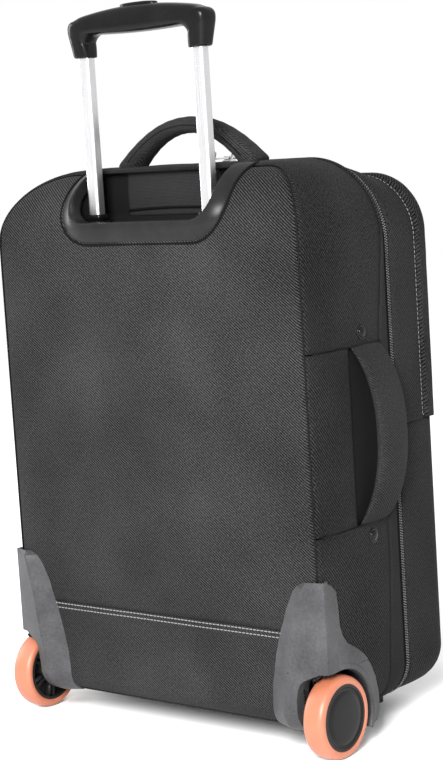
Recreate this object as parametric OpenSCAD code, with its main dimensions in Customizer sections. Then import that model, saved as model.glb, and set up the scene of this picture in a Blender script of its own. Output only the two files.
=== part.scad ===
// Two-wheeled rolling laptop case with a telescopic trolley handle.
// Front (pocket side) faces -Y, back panel faces +Y, +Z is up, the floor is z = 0.
// "v" is a depth measured forward from the back panel.

/* [Case] */
// Width of the fabric case
case_w = 380; // [360:1:400]
// Depth of the fabric case
case_d = 218; // [212:1:226]
// Height of the case's top above the floor
case_top = 552; // [545:1:565]
// Height of the case's underside above the floor
case_base = 26; // [24:1:27]
// Thickness of the padded fabric wall
wall = 2.6; // [2.2:0.1:3]

/* [Openings] */
// Depth of the main compartment's zip plane
main_zip_v = 135; // [130:1:140]
// Depth of the front pocket's zip plane
pocket_zip_v = 176; // [174:1:180]
// Height of the seam under the front pocket's flap
flap_seam_z = 292; // [280:1:310]
// Half width of the handle recess
recess_half = 92; // [90:0.5:96]
// Depth of the handle recess
recess_v = 60; // [56:1:64]

/* [Trolley handle] */
// Distance between the two tubes
tube_gap = 142.5; // [138:0.5:146]
// Depth of the tubes' centre behind the back panel
tube_v = 23; // [22:0.5:25]
// Height of the grip's lower edge as it stands
grip_z = 661; // [640:1:670]
// Half width of the grip
grip_half = 87; // [84:0.5:88]

/* [Wheels] */
// Radius of a tyre
wheel_r = 39.4; // [38:0.2:40]
// Width of a tyre
wheel_w = 23; // [20:0.5:24]
// How far a tyre stands outside the case
wheel_out = 6.9; // [6:0.1:8]
// Radius of the axle bolts
axle_r = 4; // [3.5:0.1:4]

/* [Side handle] */
// Height of the side handle's lower seam
side_handle_z0 = 210; // [200:1:220]
// Height of the side handle's upper seam
side_handle_z1 = 378; // [370:1:390]
// How far the side handle stands out
side_handle_out = 28; // [24:1:32]

/* [Hidden] */
$fn = 64;

half_w = case_w / 2;
back_y = 110;
// The origin is under the middle of the whole object's box
pocket_out = 9;
shift_x = (side_handle_out - pocket_out) / 2;
shift_y = (case_d - wheel_r + tube_v - 3.3) / 2 - back_y;

// Corner radii of the case: seen from behind, from the side, and from above
top_r = 74;
bottom_r = 40;
roll_r = 70;
// The front half is lower than the rear half: its top slopes down to the pocket
front_top = 531;
front_top_corner = 60;
front_top_r = 12;
front_bottom_r = 12;
back_bottom_r = 20;
front_r = 30;
back_r = 8;

axle_v = 19.7;
arch_r = 43;
arch_wall = 3;
well_in = 25;
wheel_in = wheel_w - wheel_out;
hub_r = 31;
bearing_r = 11;
bearing_w = 7;
shaft_gap = 0.05;
seam_gap = 0.4;

tube_outer = [21, 18.4];
tube_middle = [18, 15.4];
tube_inner = [13.6, 11.6];
tube_wall = 1.2;
slide_gap = 0.3;
floor_z = 500;
bracket_z = 60;
retract = 145;
middle_z0 = 70;
inner_z0 = middle_z0 + 8 + retract + 11;
button_travel = 3;
cavity_z0 = grip_z + 24;
cavity_z1 = grip_z + 33.5;
grip_top = grip_z + 46;
foot_x = 98;
foot_v = 180;

FABRIC = "#26272a";
TWILL = "#333437";
PLASTIC = "#3a3b3e";
SATIN = "#202124";
METAL = "#d9dadc";
ORANGE = "#f4603f";

function y_at(v) = back_y - v;

// ---- helpers ----

// Moves the case from its own middle to the object's origin
module placed() {
  translate([shift_x, shift_y, 0]) children();
}

// Both tubes, fittings and other pairs about the middle plane
module pair(x) {
  for (side = [-1, 1]) translate([side * x, 0, 0]) children();
}

// A rectangle with its own radius at each corner, from lower left, anticlockwise
module rounded_area(a, b, r) {
  polygon([
    [a[0] + r[0], a[1]], [b[0] - r[1], a[1]], [b[0], a[1] + r[1]], [b[0], b[1] - r[2]],
    [b[0] - r[2], b[1]], [a[0] + r[3], b[1]], [a[0], b[1] - r[3]], [a[0], a[1] + r[0]]
  ]);
  translate([a[0] + r[0], a[1] + r[0]]) circle(r[0]);
  translate([b[0] - r[1], a[1] + r[1]]) circle(r[1]);
  translate([b[0] - r[2], b[1] - r[2]]) circle(r[2]);
  translate([a[0] + r[3], b[1] - r[3]]) circle(r[3]);
}

// Extrudes an outline drawn in x, z from depth v0 to depth v1
module slab(v0, v1) {
  translate([0, y_at(v0), 0]) rotate([90, 0, 0]) linear_extrude(v1 - v0) children();
}

// Extrudes an outline drawn in y, z along x
module across(x0, x1) {
  translate([x0, 0, 0]) rotate([90, 0, 90]) linear_extrude(x1 - x0) children();
}

// Extrudes an outline drawn in x, y upward
module upward(z0, z1) {
  translate([0, 0, z0]) linear_extrude(z1 - z0) children();
}

// A box given by its x, v and z limits
module block(x, v, z) {
  translate([x[0], y_at(v[1]), z[0]]) cube([x[1] - x[0], v[1] - v[0], z[1] - z[0]]);
}

// A cylinder along x at depth v and height z
module bar_x(x0, x1, v, z, r) {
  translate([x0, y_at(v), z]) rotate([0, 90, 0]) cylinder(h = x1 - x0, r = r);
}

// The case's outline from behind, from the side and from above, moved in by d
module back_outline(d) {
  rounded_area(
    [-half_w + d, case_base + d], [half_w - d, case_top - d],
    [bottom_r - d, bottom_r - d, top_r - d, top_r - d]);
}

// The outline of the pocket at the front
module front_outline(d) {
  rounded_area(
    [-half_w + d, case_base + d], [half_w - d, front_top - d],
    [bottom_r - d, bottom_r - d, front_top_corner - d, front_top_corner - d]);
}

module side_outline(d) {
  rounded_area(
    [y_at(case_d) + d, case_base + d], [back_y - d, case_top - d],
    [front_bottom_r - d, back_bottom_r - d, roll_r - d, front_top_r - d]);
}

module plan_outline(d) {
  rounded_area(
    [-half_w + d, y_at(case_d) + d], [half_w - d, back_y - d],
    [front_r - d, front_r - d, back_r - d, back_r - d]);
}

module side_block(d) {
  across(-half_w - 8, half_w + 8) side_outline(d);
}

module plan_block(d) {
  upward(0, case_top + 8) plan_outline(d);
}

// The fabric band that runs round the case, between two depths
module gusset_band(v0, v1) {
  intersection() {
    slab(v0, v1) difference() {
      back_outline(0);
      back_outline(wall);
    }
    side_block(0);
    plan_block(0);
  }
}

// The pocket's band where the front's upright edges cut it
module front_band(v0, v1) {
  intersection() {
    slab(v0, v1) difference() {
      front_outline(0);
      front_outline(wall);
    }
    plan_block(0);
  }
}

// The front half's sloping part, moved in by d
module slope_block(v0, v1, d) {
  rise = (case_top - front_top) / 38;
  intersection() {
    slab(v0, v1) back_outline(d);
    across(-half_w - 8, half_w + 8) polygon([
      [y_at(130), 0], [y_at(130), case_top + 9 * rise - d], [y_at(177), front_top - d],
      [y_at(190), front_top - d], [y_at(190), 0]]);
  }
}

// The case's inside, between two depths
module inside(v0, v1, d = wall) {
  slab(v0, v1) back_outline(d);
}

// Room for both wheels and their housings
module wheel_room(r = arch_r + arch_wall + 0.2) {
  for (side = [-1, 1]) {
    translate([side * (half_w - well_in / 2 + 20), y_at(axle_v), wheel_r]) rotate([0, 90, 0])
      cylinder(h = well_in + 40.4, r = r, center = true);
  }
}

// A tube section with rounded corners, moved out by d
module section(size, d = 0) {
  rounded_area(
    [-size[0] / 2 - d, -size[1] / 2 - d], [size[0] / 2 + d, size[1] / 2 + d], [3, 3, 3, 3]);
}

// A rounded bar of tube section on each tube's axis
module tube_pair(size, z0, z1, d = 0) {
  pair(tube_gap / 2) translate([0, y_at(tube_v), 0]) upward(z0, z1) section(size, d);
}

module hollow_tubes(size, z0, z1) {
  difference() {
    tube_pair(size, z0, z1);
    tube_pair(size, z0 - 1, z1 + 1, -tube_wall);
  }
}

// ---- fabric case ----

module rear_skin() {
  intersection() {
    difference() {
      side_block(0);
      side_block(wall);
    }
    inside(0, main_zip_v - 20, wall + seam_gap);
  }
}

module recess_block(d) {
  block([-recess_half - d, recess_half + d], [-5, recess_v + d], [floor_z - d, case_top + 5]);
}

panel_split = 121;
screw_in = 15;
screw_heights = [100, 150];

// Clear holes for the guards' screws
module guard_screw_holes() {
  for (side = [-1, 1], z = screw_heights) translate([side * (half_w - screw_in), y_at(-6), z])
    rotate([90, 0, 0]) cylinder(h = 12, r = 2.2);
}

module back_panel() {
  color(TWILL) placed() difference() {
    rear_skin();
    recess_block(wall);
    block([-half_w, half_w], [-1, case_d], [0, panel_split]);
    wheel_room();
    guard_screw_holes();
  }
}

module kick_panel() {
  color(TWILL) placed() difference() {
    rear_skin();
    block([-half_w, half_w], [-1, case_d], [panel_split, case_top]);
    wheel_room();
    guard_screw_holes();
  }
}

module top_gusset() {
  color(FABRIC) placed() difference() {
    gusset_band(0, main_zip_v - 3.6);
    recess_block(wall);
    block([-half_w, half_w], [-1, case_d], [0, side_handle_z1]);
  }
}

module side_panel(side) {
  intersection() {
    gusset_band(0, main_zip_v - 3.6);
    block([side > 0 ? 0 : -half_w, side > 0 ? half_w : 0], [-1, case_d], [panel_split, side_handle_z1]);
  }
}

module left_side_panel() {
  color(FABRIC) placed() side_panel(-1);
}

module right_side_panel() {
  color(FABRIC) placed() side_panel(1);
}

module bottom_gusset() {
  color(FABRIC) placed() difference() {
    gusset_band(0, main_zip_v - 3.6);
    block([-half_w, half_w], [-1, case_d], [panel_split, case_top]);
    wheel_room();
    for (side = [-1, 1]) translate([side * 60, y_at(30), 0]) cylinder(h = 60, r = 4.2);
  }
}

module rear_zip_tape() {
  color("black") placed() difference() {
    gusset_band(main_zip_v - 3.6, main_zip_v - 0.4);
    block([half_w - 10, half_w + 1], [0, case_d], [case_base + 45, case_top - 100]);
  }
}

module hinge_strip() {
  color("black") placed() intersection() {
    gusset_band(main_zip_v - 3.6, main_zip_v - 0.4);
    block([half_w - 10, half_w + 1], [0, case_d], [case_base + 45, case_top - 100]);
  }
}

// The lined pit that the grip sinks into
module recess_lining() {
  color("#55565a") placed() intersection() {
    difference() {
      recess_block(wall);
      recess_block(0);
      tube_pair(tube_outer, floor_z - 10, floor_z + 5, 2);
    }
    side_block(0);
    slab(-1, case_d) back_outline(0);
  }
}

// The U-shaped bezel round the recess
rim_half = 103;
rim_inner = 88.5;
rim_t = 6;

module handle_rim() {
  color(SATIN) placed() intersection() {
    difference() {
      side_block(-rim_t);
      side_block(0);
    }
    slab(-8, 56) difference() {
      rounded_area([-rim_half, 483], [rim_half, case_top + 12], [38, 38, 1, 1]);
      rounded_area([-rim_inner, 504.5], [rim_inner, case_top + 14], [22, 22, 1, 1]);
    }
  }
}

// ---- frame inside the back ----

module backboard() {
  color("#1c1c1e") placed() difference() {
    block([-168, 168], [wall, wall + 2], [48, 458]);
    wheel_room();
  }
}

module back_lining() {
  color("#6a6b6f") placed() block([-176, 176], [40, 42], [96, floor_z - 6]);
}

module base_tray() {
  color("#1c1c1e") placed() difference() {
    block([-148, 148], [22, main_zip_v - 7], [case_base + wall, case_base + wall + 3]);
    wheel_room();
    for (side = [-1, 1]) {
      translate([side * 60, y_at(30), 0]) cylinder(h = 60, r = 2.2);
    }
  }
}

module outer_tubes() {
  color(METAL) placed() hollow_tubes(tube_outer, bracket_z, floor_z + 1);
}

module outer_collars() {
  color(SATIN) placed() difference() {
    tube_pair(tube_outer, floor_z - 8, floor_z + 4, 2);
    tube_pair(tube_outer, floor_z - 9, floor_z + 1);
    tube_pair(tube_middle, floor_z, floor_z + 5, slide_gap);
  }
}

module trolley_bracket() {
  color(PLASTIC) placed() difference() {
    union() {
      block([-86, 86], [12, 36], [case_base + wall + 3, 52]);
      tube_pair(tube_outer, 50, 74, 3);
    }
    tube_pair(tube_outer, bracket_z, 80);
    tube_pair(tube_outer, 53, 80, -4);
    for (side = [-1, 1]) translate([side * 60, y_at(30), 20]) cylinder(h = 24, r = 2);
    block([-54, 54], [11, 37], [38, 46]);
  }
}

module bracket_screws() {
  color("silver") placed() for (side = [-1, 1]) translate([side * 60, y_at(30), 0]) {
    translate([0, 0, case_base + 0.4]) cylinder(h = wall - 0.4, r = 4);
    translate([0, 0, case_base + wall]) cylinder(h = 14, r = 2);
  }
}

// ---- wheel housings and wheels ----

// Outline of the guard's flank, as depth and height
flank = [
  [-4, 168], [12, 166], [22, 158], [24, 140], [24, 126], [29, 114], [36, 106], [47, 100],
  [58, 92], [70, 79], [77, 65], [81, 49], [81, 35], [77, 22], [55, 20], [-4, 20]
];
// Outline of the guard's back fin, as inset from the case's side and height
fin = [
  [-5, 168], [14, 171], [22, 167], [28, 161], [34, 151], [44, 131], [48, 121], [52, 100],
  [58, 75], [62, 58], [71, 42], [91, 34], [68, 37], [54, 38], [43, 41], [34, 47], [28, 56],
  [24, 69], [20, 77], [10, 81], [4, 85], [-5, 85]
];

module wheel_housing() {
  difference() {
    union() {
      across(half_w, half_w + 5) polygon([for (p = flank) [y_at(p[0]), p[1]]]);
      slab(-4, 0) polygon([for (p = fin) [half_w - p[0], p[1]]]);
      intersection() {
        bar_x(half_w - well_in, half_w, axle_v, wheel_r, arch_r + arch_wall);
        block([0, half_w], [0, case_d], [case_base, case_top]);
        plan_block(0);
        slab(-1, case_d) back_outline(0);
      }
      bar_x(half_w - well_in - 8, half_w - well_in, axle_v, wheel_r, 7);
    }
    bar_x(half_w - well_in + arch_wall, half_w + 10, axle_v, wheel_r, arch_r);
    bar_x(half_w - 60, half_w, axle_v, wheel_r, axle_r + 0.3);
    for (z = screw_heights) translate([half_w - screw_in, y_at(-5), z]) rotate([90, 0, 0])
      cylinder(h = 6, r = 2);
  }
  difference() {
    bar_x(half_w - well_in + arch_wall, half_w - wheel_in + 0.8, axle_v, wheel_r, 7);
    bar_x(half_w - 60, half_w, axle_v, wheel_r, axle_r + 0.3);
  }
}

// The wheel's own pieces lie about its axle, between these places along x
wheel_x0 = half_w - wheel_in;
wheel_x1 = half_w + wheel_out;
boss_x0 = wheel_x0 + 1.2;
boss_x1 = wheel_x1 - 5.6;

module tyre() {
  translate([wheel_x0, y_at(axle_v), wheel_r]) rotate([0, 90, 0]) rotate_extrude($fn = 96)
    intersection() {
      rounded_area([hub_r, 0], [wheel_r, wheel_w], [1, 6.5, 6.5, 1]);
      translate([hub_r, 0]) square([wheel_r - hub_r, wheel_w]);
    }
}

module wheel_core() {
  difference() {
    union() {
      difference() {
        bar_x(wheel_x0 + 0.6, wheel_x1 - 0.6, axle_v, wheel_r, hub_r);
        bar_x(wheel_x0 - 1, wheel_x1 + 1, axle_v, wheel_r, hub_r - 2.6);
      }
      bar_x(wheel_x0 + 9, wheel_x0 + 12.5, axle_v, wheel_r, hub_r - 2);
      bar_x(boss_x0, boss_x1, axle_v, wheel_r, bearing_r + 3);
      for (k = [0 : 5]) {
        translate([wheel_x0 + 3, y_at(axle_v), wheel_r]) rotate([60 * k, 0, 0])
          translate([0, -1.6, bearing_r + 1]) cube([7, 3.2, hub_r - 2 - bearing_r]);
      }
    }
    bar_x(boss_x0 - 1, boss_x0 + bearing_w, axle_v, wheel_r, bearing_r);
    bar_x(boss_x1 - bearing_w, boss_x1 + 1, axle_v, wheel_r, bearing_r);
    bar_x(boss_x0 - 2, boss_x1 + 2, axle_v, wheel_r, axle_r + 1);
  }
}

module bearings() {
  for (x = [boss_x0, boss_x1 - bearing_w]) difference() {
    bar_x(x, x + bearing_w, axle_v, wheel_r, bearing_r);
    bar_x(x - 1, x + bearing_w + 1, axle_v, wheel_r, axle_r + shaft_gap);
  }
}

module hub_cap() {
  bar_x(wheel_x1 - 3, wheel_x1 - 0.4, axle_v, wheel_r, hub_r - 2.6);
}

module axle() {
  bar_x(half_w - well_in - 16, boss_x1 + 0.4, axle_v, wheel_r, axle_r);
  bar_x(boss_x1 + 0.4, boss_x1 + 2.3, axle_v, wheel_r, 8);
}

module axle_nut() {
  difference() {
    bar_x(half_w - well_in - 14.5, half_w - well_in - 8, axle_v, wheel_r, 7);
    bar_x(half_w - well_in - 15, half_w - well_in - 7, axle_v, wheel_r, axle_r);
  }
}

module wheel_housing_left() {
  color(PLASTIC) placed() mirror([1, 0, 0]) wheel_housing();
}

module wheel_housing_right() {
  color(PLASTIC) placed() wheel_housing();
}

module housing_screws() {
  color("silver") placed() for (side = [-1, 1], z = screw_heights) {
    translate([side * (half_w - screw_in), y_at(-4.8), z]) rotate([90, 0, 0]) cylinder(h = 8, r = 2);
  }
}

module axle_left() {
  color("silver") placed() mirror([1, 0, 0]) axle();
}

module axle_right() {
  color("silver") placed() axle();
}

module axle_nuts() {
  color("silver") placed() {
    axle_nut();
    mirror([1, 0, 0]) axle_nut();
  }
}

module tyre_left() {
  color(ORANGE) placed() mirror([1, 0, 0]) tyre();
}

module tyre_right() {
  color(ORANGE) placed() tyre();
}

module wheel_core_left() {
  color("#151515") placed() mirror([1, 0, 0]) wheel_core();
}

module wheel_core_right() {
  color("#151515") placed() wheel_core();
}

module hub_cap_left() {
  color(PLASTIC) placed() mirror([1, 0, 0]) hub_cap();
}

module hub_cap_right() {
  color(PLASTIC) placed() hub_cap();
}

module bearings_left() {
  color("silver") placed() mirror([1, 0, 0]) bearings();
}

module bearings_right() {
  color("silver") placed() bearings();
}

module front_feet() {
  color(SATIN) placed() pair(foot_x) difference() {
    translate([0, y_at(foot_v), 0]) upward(0, case_base)
      rounded_area([-26, -13], [26, 13], [10, 10, 10, 10]);
    translate([0, y_at(foot_v), -1]) cylinder(h = 8, r = 5);
    translate([0, y_at(foot_v), 0]) cylinder(h = case_base + 1, r = 2.2);
  }
}

module foot_screws() {
  color("silver") placed() pair(foot_x) translate([0, y_at(foot_v), 0]) {
    translate([0, 0, 4]) cylinder(h = 3, r = 4.6);
    translate([0, 0, 7]) cylinder(h = case_base - 7, r = 2.2);
  }
}

// ---- carry handles and the side pocket ----

grab_v = 88;

// Arch of a carry handle: outline in x, y standing on y = 0
module arch(half, rise, inner_half, inner_rise) {
  r = (half * half + rise * rise) / (2 * rise);
  inner_r = (inner_half * inner_half + inner_rise * inner_rise) / (2 * inner_rise);
  intersection() {
    difference() {
      translate([0, rise - r]) circle(r);
      translate([0, inner_rise - inner_r]) circle(inner_r);
    }
    translate([-half - 1, 0]) square([2 * half + 2, rise + 1]);
  }
}

module grab_handle() {
  color(FABRIC) placed() slab(grab_v - 14, grab_v + 14) translate([0, case_top]) arch(91, 46, 60, 32);
}

module side_handle() {
  span = (side_handle_z1 - side_handle_z0) / 2;
  color(FABRIC) placed() slab(68, 118)
    translate([-half_w, (side_handle_z1 + side_handle_z0) / 2]) rotate([0, 0, 90])
    arch(span, side_handle_out, span - 12, side_handle_out - 10);
}

module side_handle_backing() {
  color("black") placed() block(
    [-half_w - 0.6, -half_w], [66, 116], [side_handle_z0 + 16, side_handle_z1 - 16]);
}

module handle_rivets() {
  color("black") placed() for (p = [[86, side_handle_z1 + 12], [88, side_handle_z0 - 13]]) {
    translate([-half_w, y_at(p[0]), p[1]]) rotate([0, -90, 0]) {
      cylinder(h = 1, r = 7);
      cylinder(h = 2.6, r = 5);
    }
  }
}

// Open-topped strip pocket on the case's right side
module side_pocket() {
  z0 = 300;
  z1 = 465;
  color(FABRIC) placed() difference() {
    slab(15, 122) polygon([
      [half_w, z0], [half_w + 1, z0], [half_w + pocket_out, z1 - 60], [half_w + pocket_out, z1], [half_w, z1]]);
    slab(17, 120) polygon([
      [half_w, z0 + 20], [half_w + pocket_out - 1.5, z1 - 60], [half_w + pocket_out - 1.5, z1 + 1],
      [half_w, z1 + 1]]);
  }
}

// ---- trolley handle ----

module middle_tubes() {
  color(METAL) placed() hollow_tubes(tube_middle, middle_z0, floor_z + 5);
}

module middle_collars() {
  color(SATIN) placed() difference() {
    tube_pair(tube_middle, floor_z + 5, floor_z + 10, 0.6);
    tube_pair(tube_inner, floor_z, floor_z + 11, slide_gap);
  }
}

module middle_plugs() {
  color(PLASTIC) placed() {
    tube_pair(tube_middle, middle_z0 - 6, middle_z0);
    tube_pair(tube_middle, middle_z0, middle_z0 + 6, -tube_wall);
  }
}

module inner_tubes() {
  color(METAL) placed() hollow_tubes(tube_inner, inner_z0, grip_z + 15);
}

module inner_plugs() {
  color(PLASTIC) placed() {
    tube_pair(tube_inner, inner_z0 - 7, inner_z0, 0.4);
    tube_pair(tube_inner, inner_z0, inner_z0 + 6, -tube_wall);
  }
}

// Half the grip's width at the foot of its legs
leg_half = 82;

// The whole grip as a solid: a beam with an arched top and two legs
module grip_solid() {
  arch_h = 9;
  r = (grip_half * grip_half + arch_h * arch_h) / (2 * arch_h);
  slab(tube_v - 14, tube_v + 14) difference() {
    intersection() {
      polygon([
        [-leg_half + 3, grip_z], [leg_half - 3, grip_z], [leg_half, grip_z + 3],
        [grip_half, grip_z + 37], [grip_half, grip_top + 6], [-grip_half, grip_top + 6],
        [-grip_half, grip_z + 37], [-leg_half, grip_z + 3]]);
      translate([0, grip_top - r]) circle(r, $fn = 360);
    }
    rounded_area([-grip_half + 24, grip_z - 5], [grip_half - 24, grip_z + 21], [1, 1, 10, 10]);
  }
}

button_half = [22, 6.5];

module button_block(d, z0, z1) {
  translate([0, y_at(tube_v), 0]) upward(z0, z1) rounded_area(
    [-button_half[0] - d, -button_half[1] - d], [button_half[0] + d, button_half[1] + d], [5, 5, 5, 5]);
}

module grip_hollows() {
  tube_pair(tube_inner, grip_z - 1, grip_z + 15);
  tube_pair([7, 7], grip_z, cavity_z0 + 1);
  block([-75, 75], [tube_v - 3.4, tube_v + 3.4], [cavity_z0, cavity_z1]);
  button_block(0.4, cavity_z1 - 5, grip_top + 5);
  pair(38) translate([0, y_at(tube_v + 9.5), grip_z]) cylinder(h = 40, r = 1.5);
  pair(38) translate([0, y_at(tube_v + 9.5), grip_z]) cylinder(h = 25, r = 3);
}

module grip_body() {
  color(SATIN) placed() difference() {
    grip_solid();
    grip_hollows();
    block([-100, 100], [0, 60], [cavity_z1, grip_top + 5]);
  }
}

module grip_cover() {
  color(SATIN) placed() difference() {
    grip_solid();
    grip_hollows();
    block([-100, 100], [0, 60], [grip_z - 5, cavity_z1]);
  }
}

module grip_screws() {
  color("silver") placed() pair(38) translate([0, y_at(tube_v + 9.5), 0]) {
    translate([0, 0, grip_z + 23]) cylinder(h = 2, r = 3);
    translate([0, 0, grip_z + 25]) cylinder(h = 14, r = 1.5);
  }
}

module release_button() {
  color(SATIN) placed() button_block(0, cavity_z1 - 1.5, grip_top + 2);
}

module release_rods() {
  color("silver") placed() {
    block([-72, 72], [tube_v - 3, tube_v + 3], [cavity_z1 - 5.5, cavity_z1 - 1.5]);
    pair(tube_gap / 2) translate([0, y_at(tube_v), inner_z0 + 12])
      cylinder(h = cavity_z1 - 5.5 - inner_z0 - 12, r = 2);
  }
}

// ---- front half, which opens like a book ----

module front_gusset() {
  color(FABRIC) placed() difference() {
    slope_block(main_zip_v + 0.4, pocket_zip_v - 2, 0);
    slope_block(main_zip_v, pocket_zip_v - 1, wall);
  }
}

module front_divider() {
  color("#6a6b6f") placed() slab(pocket_zip_v - 4.5, pocket_zip_v - 2) front_outline(wall);
}

sleeve_top = 330;

module laptop_sleeve() {
  color("#6a6b6f") placed() difference() {
    slab(146, pocket_zip_v - 4.5) rounded_area([-182, 54], [182, sleeve_top], [24, 24, 4, 4]);
    block([-178, 178], [150, pocket_zip_v - 9], [60, sleeve_top + 1]);
  }
}

module front_skin(v0) {
  intersection() {
    difference() {
      plan_block(0);
      plan_block(wall);
    }
    slab(v0, case_d + 2) front_outline(wall + seam_gap);
  }
}

module below_seam() {
  block([-half_w - 5, half_w + 5], [0, case_d + 5], [0, flap_seam_z]);
}

module above_seam() {
  block([-half_w - 5, half_w + 5], [0, case_d + 5], [flap_seam_z + 3, case_top + 1]);
}

module lower_front_gusset() {
  color(FABRIC) placed() intersection() {
    front_band(pocket_zip_v - 2, case_d + 2);
    below_seam();
  }
}

module lower_front_panel() {
  color(TWILL) placed() intersection() {
    front_skin(pocket_zip_v - 2);
    below_seam();
  }
}

module flap_gusset() {
  color(FABRIC) placed() intersection() {
    front_band(pocket_zip_v, case_d + 2);
    above_seam();
  }
}

module flap_panel() {
  color(TWILL) placed() intersection() {
    front_skin(pocket_zip_v);
    above_seam();
  }
}

// ---- zip sliders ----

slider_x = [-40, -10];
slider_z = case_top + 0.4;

module slider(x) {
  translate([x, 0, 0]) {
    block([-5, 5], [main_zip_v - 6, main_zip_v + 3], [slider_z, slider_z + 2]);
    for (side = [-1, 1]) block(
      [side * 3.5 - 1, side * 3.5 + 1], [main_zip_v - 4, main_zip_v - 0.5], [slider_z + 2, slider_z + 6]);
    bar_x(-3, 3, main_zip_v - 2.2, slider_z + 4.2, 0.9);
  }
}

module pull(x) {
  translate([x, 0, 0]) difference() {
    union() {
      bar_x(-2.2, 2.2, main_zip_v - 2.2, slider_z + 4.2, 2);
      block([-2.2, 2.2], [main_zip_v - 9, main_zip_v - 2.2], [slider_z + 3.3, slider_z + 5.1]);
      block([-4.5, 4.5], [main_zip_v - 30, main_zip_v - 8], [slider_z + 3.3, slider_z + 5.1]);
    }
    bar_x(-3, 3, main_zip_v - 2.2, slider_z + 4.2, 1.2);
    translate([0, y_at(main_zip_v - 25), slider_z]) cylinder(h = 8, r = 2.6);
  }
}

module main_slider_left() {
  color("silver") placed() slider(slider_x[0]);
}

module main_pull_left() {
  color("silver") placed() pull(slider_x[0]);
}

module main_slider_right() {
  color("silver") placed() slider(slider_x[1]);
}

module main_pull_right() {
  color("silver") placed() pull(slider_x[1]);
}

back_panel();
kick_panel();
top_gusset();
left_side_panel();
right_side_panel();
bottom_gusset();
handle_rim();
recess_lining();
backboard();
back_lining();
base_tray();
rear_zip_tape();
hinge_strip();
outer_tubes();
outer_collars();
trolley_bracket();
bracket_screws();
wheel_housing_left();
wheel_housing_right();
housing_screws();
axle_left();
axle_right();
axle_nuts();
front_feet();
foot_screws();
grab_handle();
side_handle();
side_handle_backing();
handle_rivets();
side_pocket();
middle_tubes();
middle_collars();
middle_plugs();
inner_tubes();
inner_plugs();
grip_body();
grip_cover();
grip_screws();
release_button();
release_rods();
tyre_left();
wheel_core_left();
hub_cap_left();
bearings_left();
tyre_right();
wheel_core_right();
hub_cap_right();
bearings_right();
front_gusset();
front_divider();
laptop_sleeve();
lower_front_gusset();
lower_front_panel();
flap_gusset();
flap_panel();
main_slider_left();
main_pull_left();
main_slider_right();
main_pull_right();
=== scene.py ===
"""Looks of a rolling laptop case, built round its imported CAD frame. Lengths here are in millimetres:
x from the case's middle, v forward from the back panel, z up from the floor."""
import math

import bmesh
import bpy
import numpy as np
from mathutils import Matrix, Vector


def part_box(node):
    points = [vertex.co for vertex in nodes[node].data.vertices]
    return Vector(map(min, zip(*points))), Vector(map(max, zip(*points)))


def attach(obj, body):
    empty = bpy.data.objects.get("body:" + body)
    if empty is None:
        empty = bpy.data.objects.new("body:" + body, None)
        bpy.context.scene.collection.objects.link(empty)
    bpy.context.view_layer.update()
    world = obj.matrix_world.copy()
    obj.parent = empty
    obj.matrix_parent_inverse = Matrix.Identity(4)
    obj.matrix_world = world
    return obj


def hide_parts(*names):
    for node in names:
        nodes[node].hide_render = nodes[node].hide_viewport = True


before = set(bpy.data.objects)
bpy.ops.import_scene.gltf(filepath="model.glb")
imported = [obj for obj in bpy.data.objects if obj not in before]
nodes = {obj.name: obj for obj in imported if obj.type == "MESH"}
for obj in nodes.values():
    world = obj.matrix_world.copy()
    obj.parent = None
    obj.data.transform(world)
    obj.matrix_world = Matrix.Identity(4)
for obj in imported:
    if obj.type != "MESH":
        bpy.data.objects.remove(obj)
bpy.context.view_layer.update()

# ---------------------------------------------------------------- sizes, from the frame
MM = 0.001
ring_lo, ring_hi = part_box("front_gusset")
MIDDLE_X = (ring_lo.x + ring_hi.x) / 2
BACK_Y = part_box("kick_panel")[1].y
HALF_W = (ring_hi.x - ring_lo.x) / 2 / MM
TOP = ring_hi.z / MM
BASE = ring_lo.z / MM
DEPTH = (BACK_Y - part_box("lower_front_panel")[0].y) / MM
MAIN_ZIP = (BACK_Y - ring_hi.y) / MM - 0.4
POCKET_ZIP = (BACK_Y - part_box("flap_panel")[1].y) / MM
SEAM_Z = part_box("kick_panel")[1].z / MM
FLAP_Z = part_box("lower_front_gusset")[1].z / MM
HANDLE_Z0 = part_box("left_side_panel")[0].z / MM
HANDLE_Z1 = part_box("top_gusset")[0].z / MM
HANDLE_LOW = HANDLE_Z1 - (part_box("side_handle")[1].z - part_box("side_handle")[0].z) / MM
TUBE_X = 71.25
TUBE_V = (BACK_Y - (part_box("inner_tubes")[0].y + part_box("inner_tubes")[1].y) / 2) / MM
GRIP_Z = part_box("grip_body")[0].z / MM
GRIP_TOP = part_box("grip_cover")[1].z / MM
WHEEL_R = (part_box("tyre_left")[1].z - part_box("tyre_left")[0].z) / 2 / MM
AXLE_V = (BACK_Y - (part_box("tyre_left")[0].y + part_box("tyre_left")[1].y) / 2) / MM
WHEEL_X0 = (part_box("tyre_right")[0].x - MIDDLE_X) / MM
WHEEL_X1 = (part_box("tyre_right")[1].x - MIDDLE_X) / MM
HUB_R = 31.0

FRONT_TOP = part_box("flap_panel")[1].z / MM + 3.0
TOP_R, BOTTOM_R, ROLL_R, BACK_BOTTOM_R, FRONT_R, EDGE_R = 68.0, 40.0, 70.0, 20.0, 30.0, 7.0
FACE_R = 54.0
SIDE_Z = 300.0
WALL = 2.6
PIT_HALF, PIT_V, PIT_Z = 92.0, 60.0, 500.0
RIM_HALF, RIM_LOW = 103.0, 483.0

INSIDE_REAR, INSIDE_FRONT = (0, 60, 280), (0, 160, 280)


def place(points):
    """Millimetre points (x, v, z) to metres in the object's frame."""
    p = np.asarray(points, float)
    out = np.empty_like(p)
    out[..., 0] = MIDDLE_X + p[..., 0] * MM
    out[..., 1] = BACK_Y - p[..., 1] * MM
    out[..., 2] = p[..., 2] * MM
    return out


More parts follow.
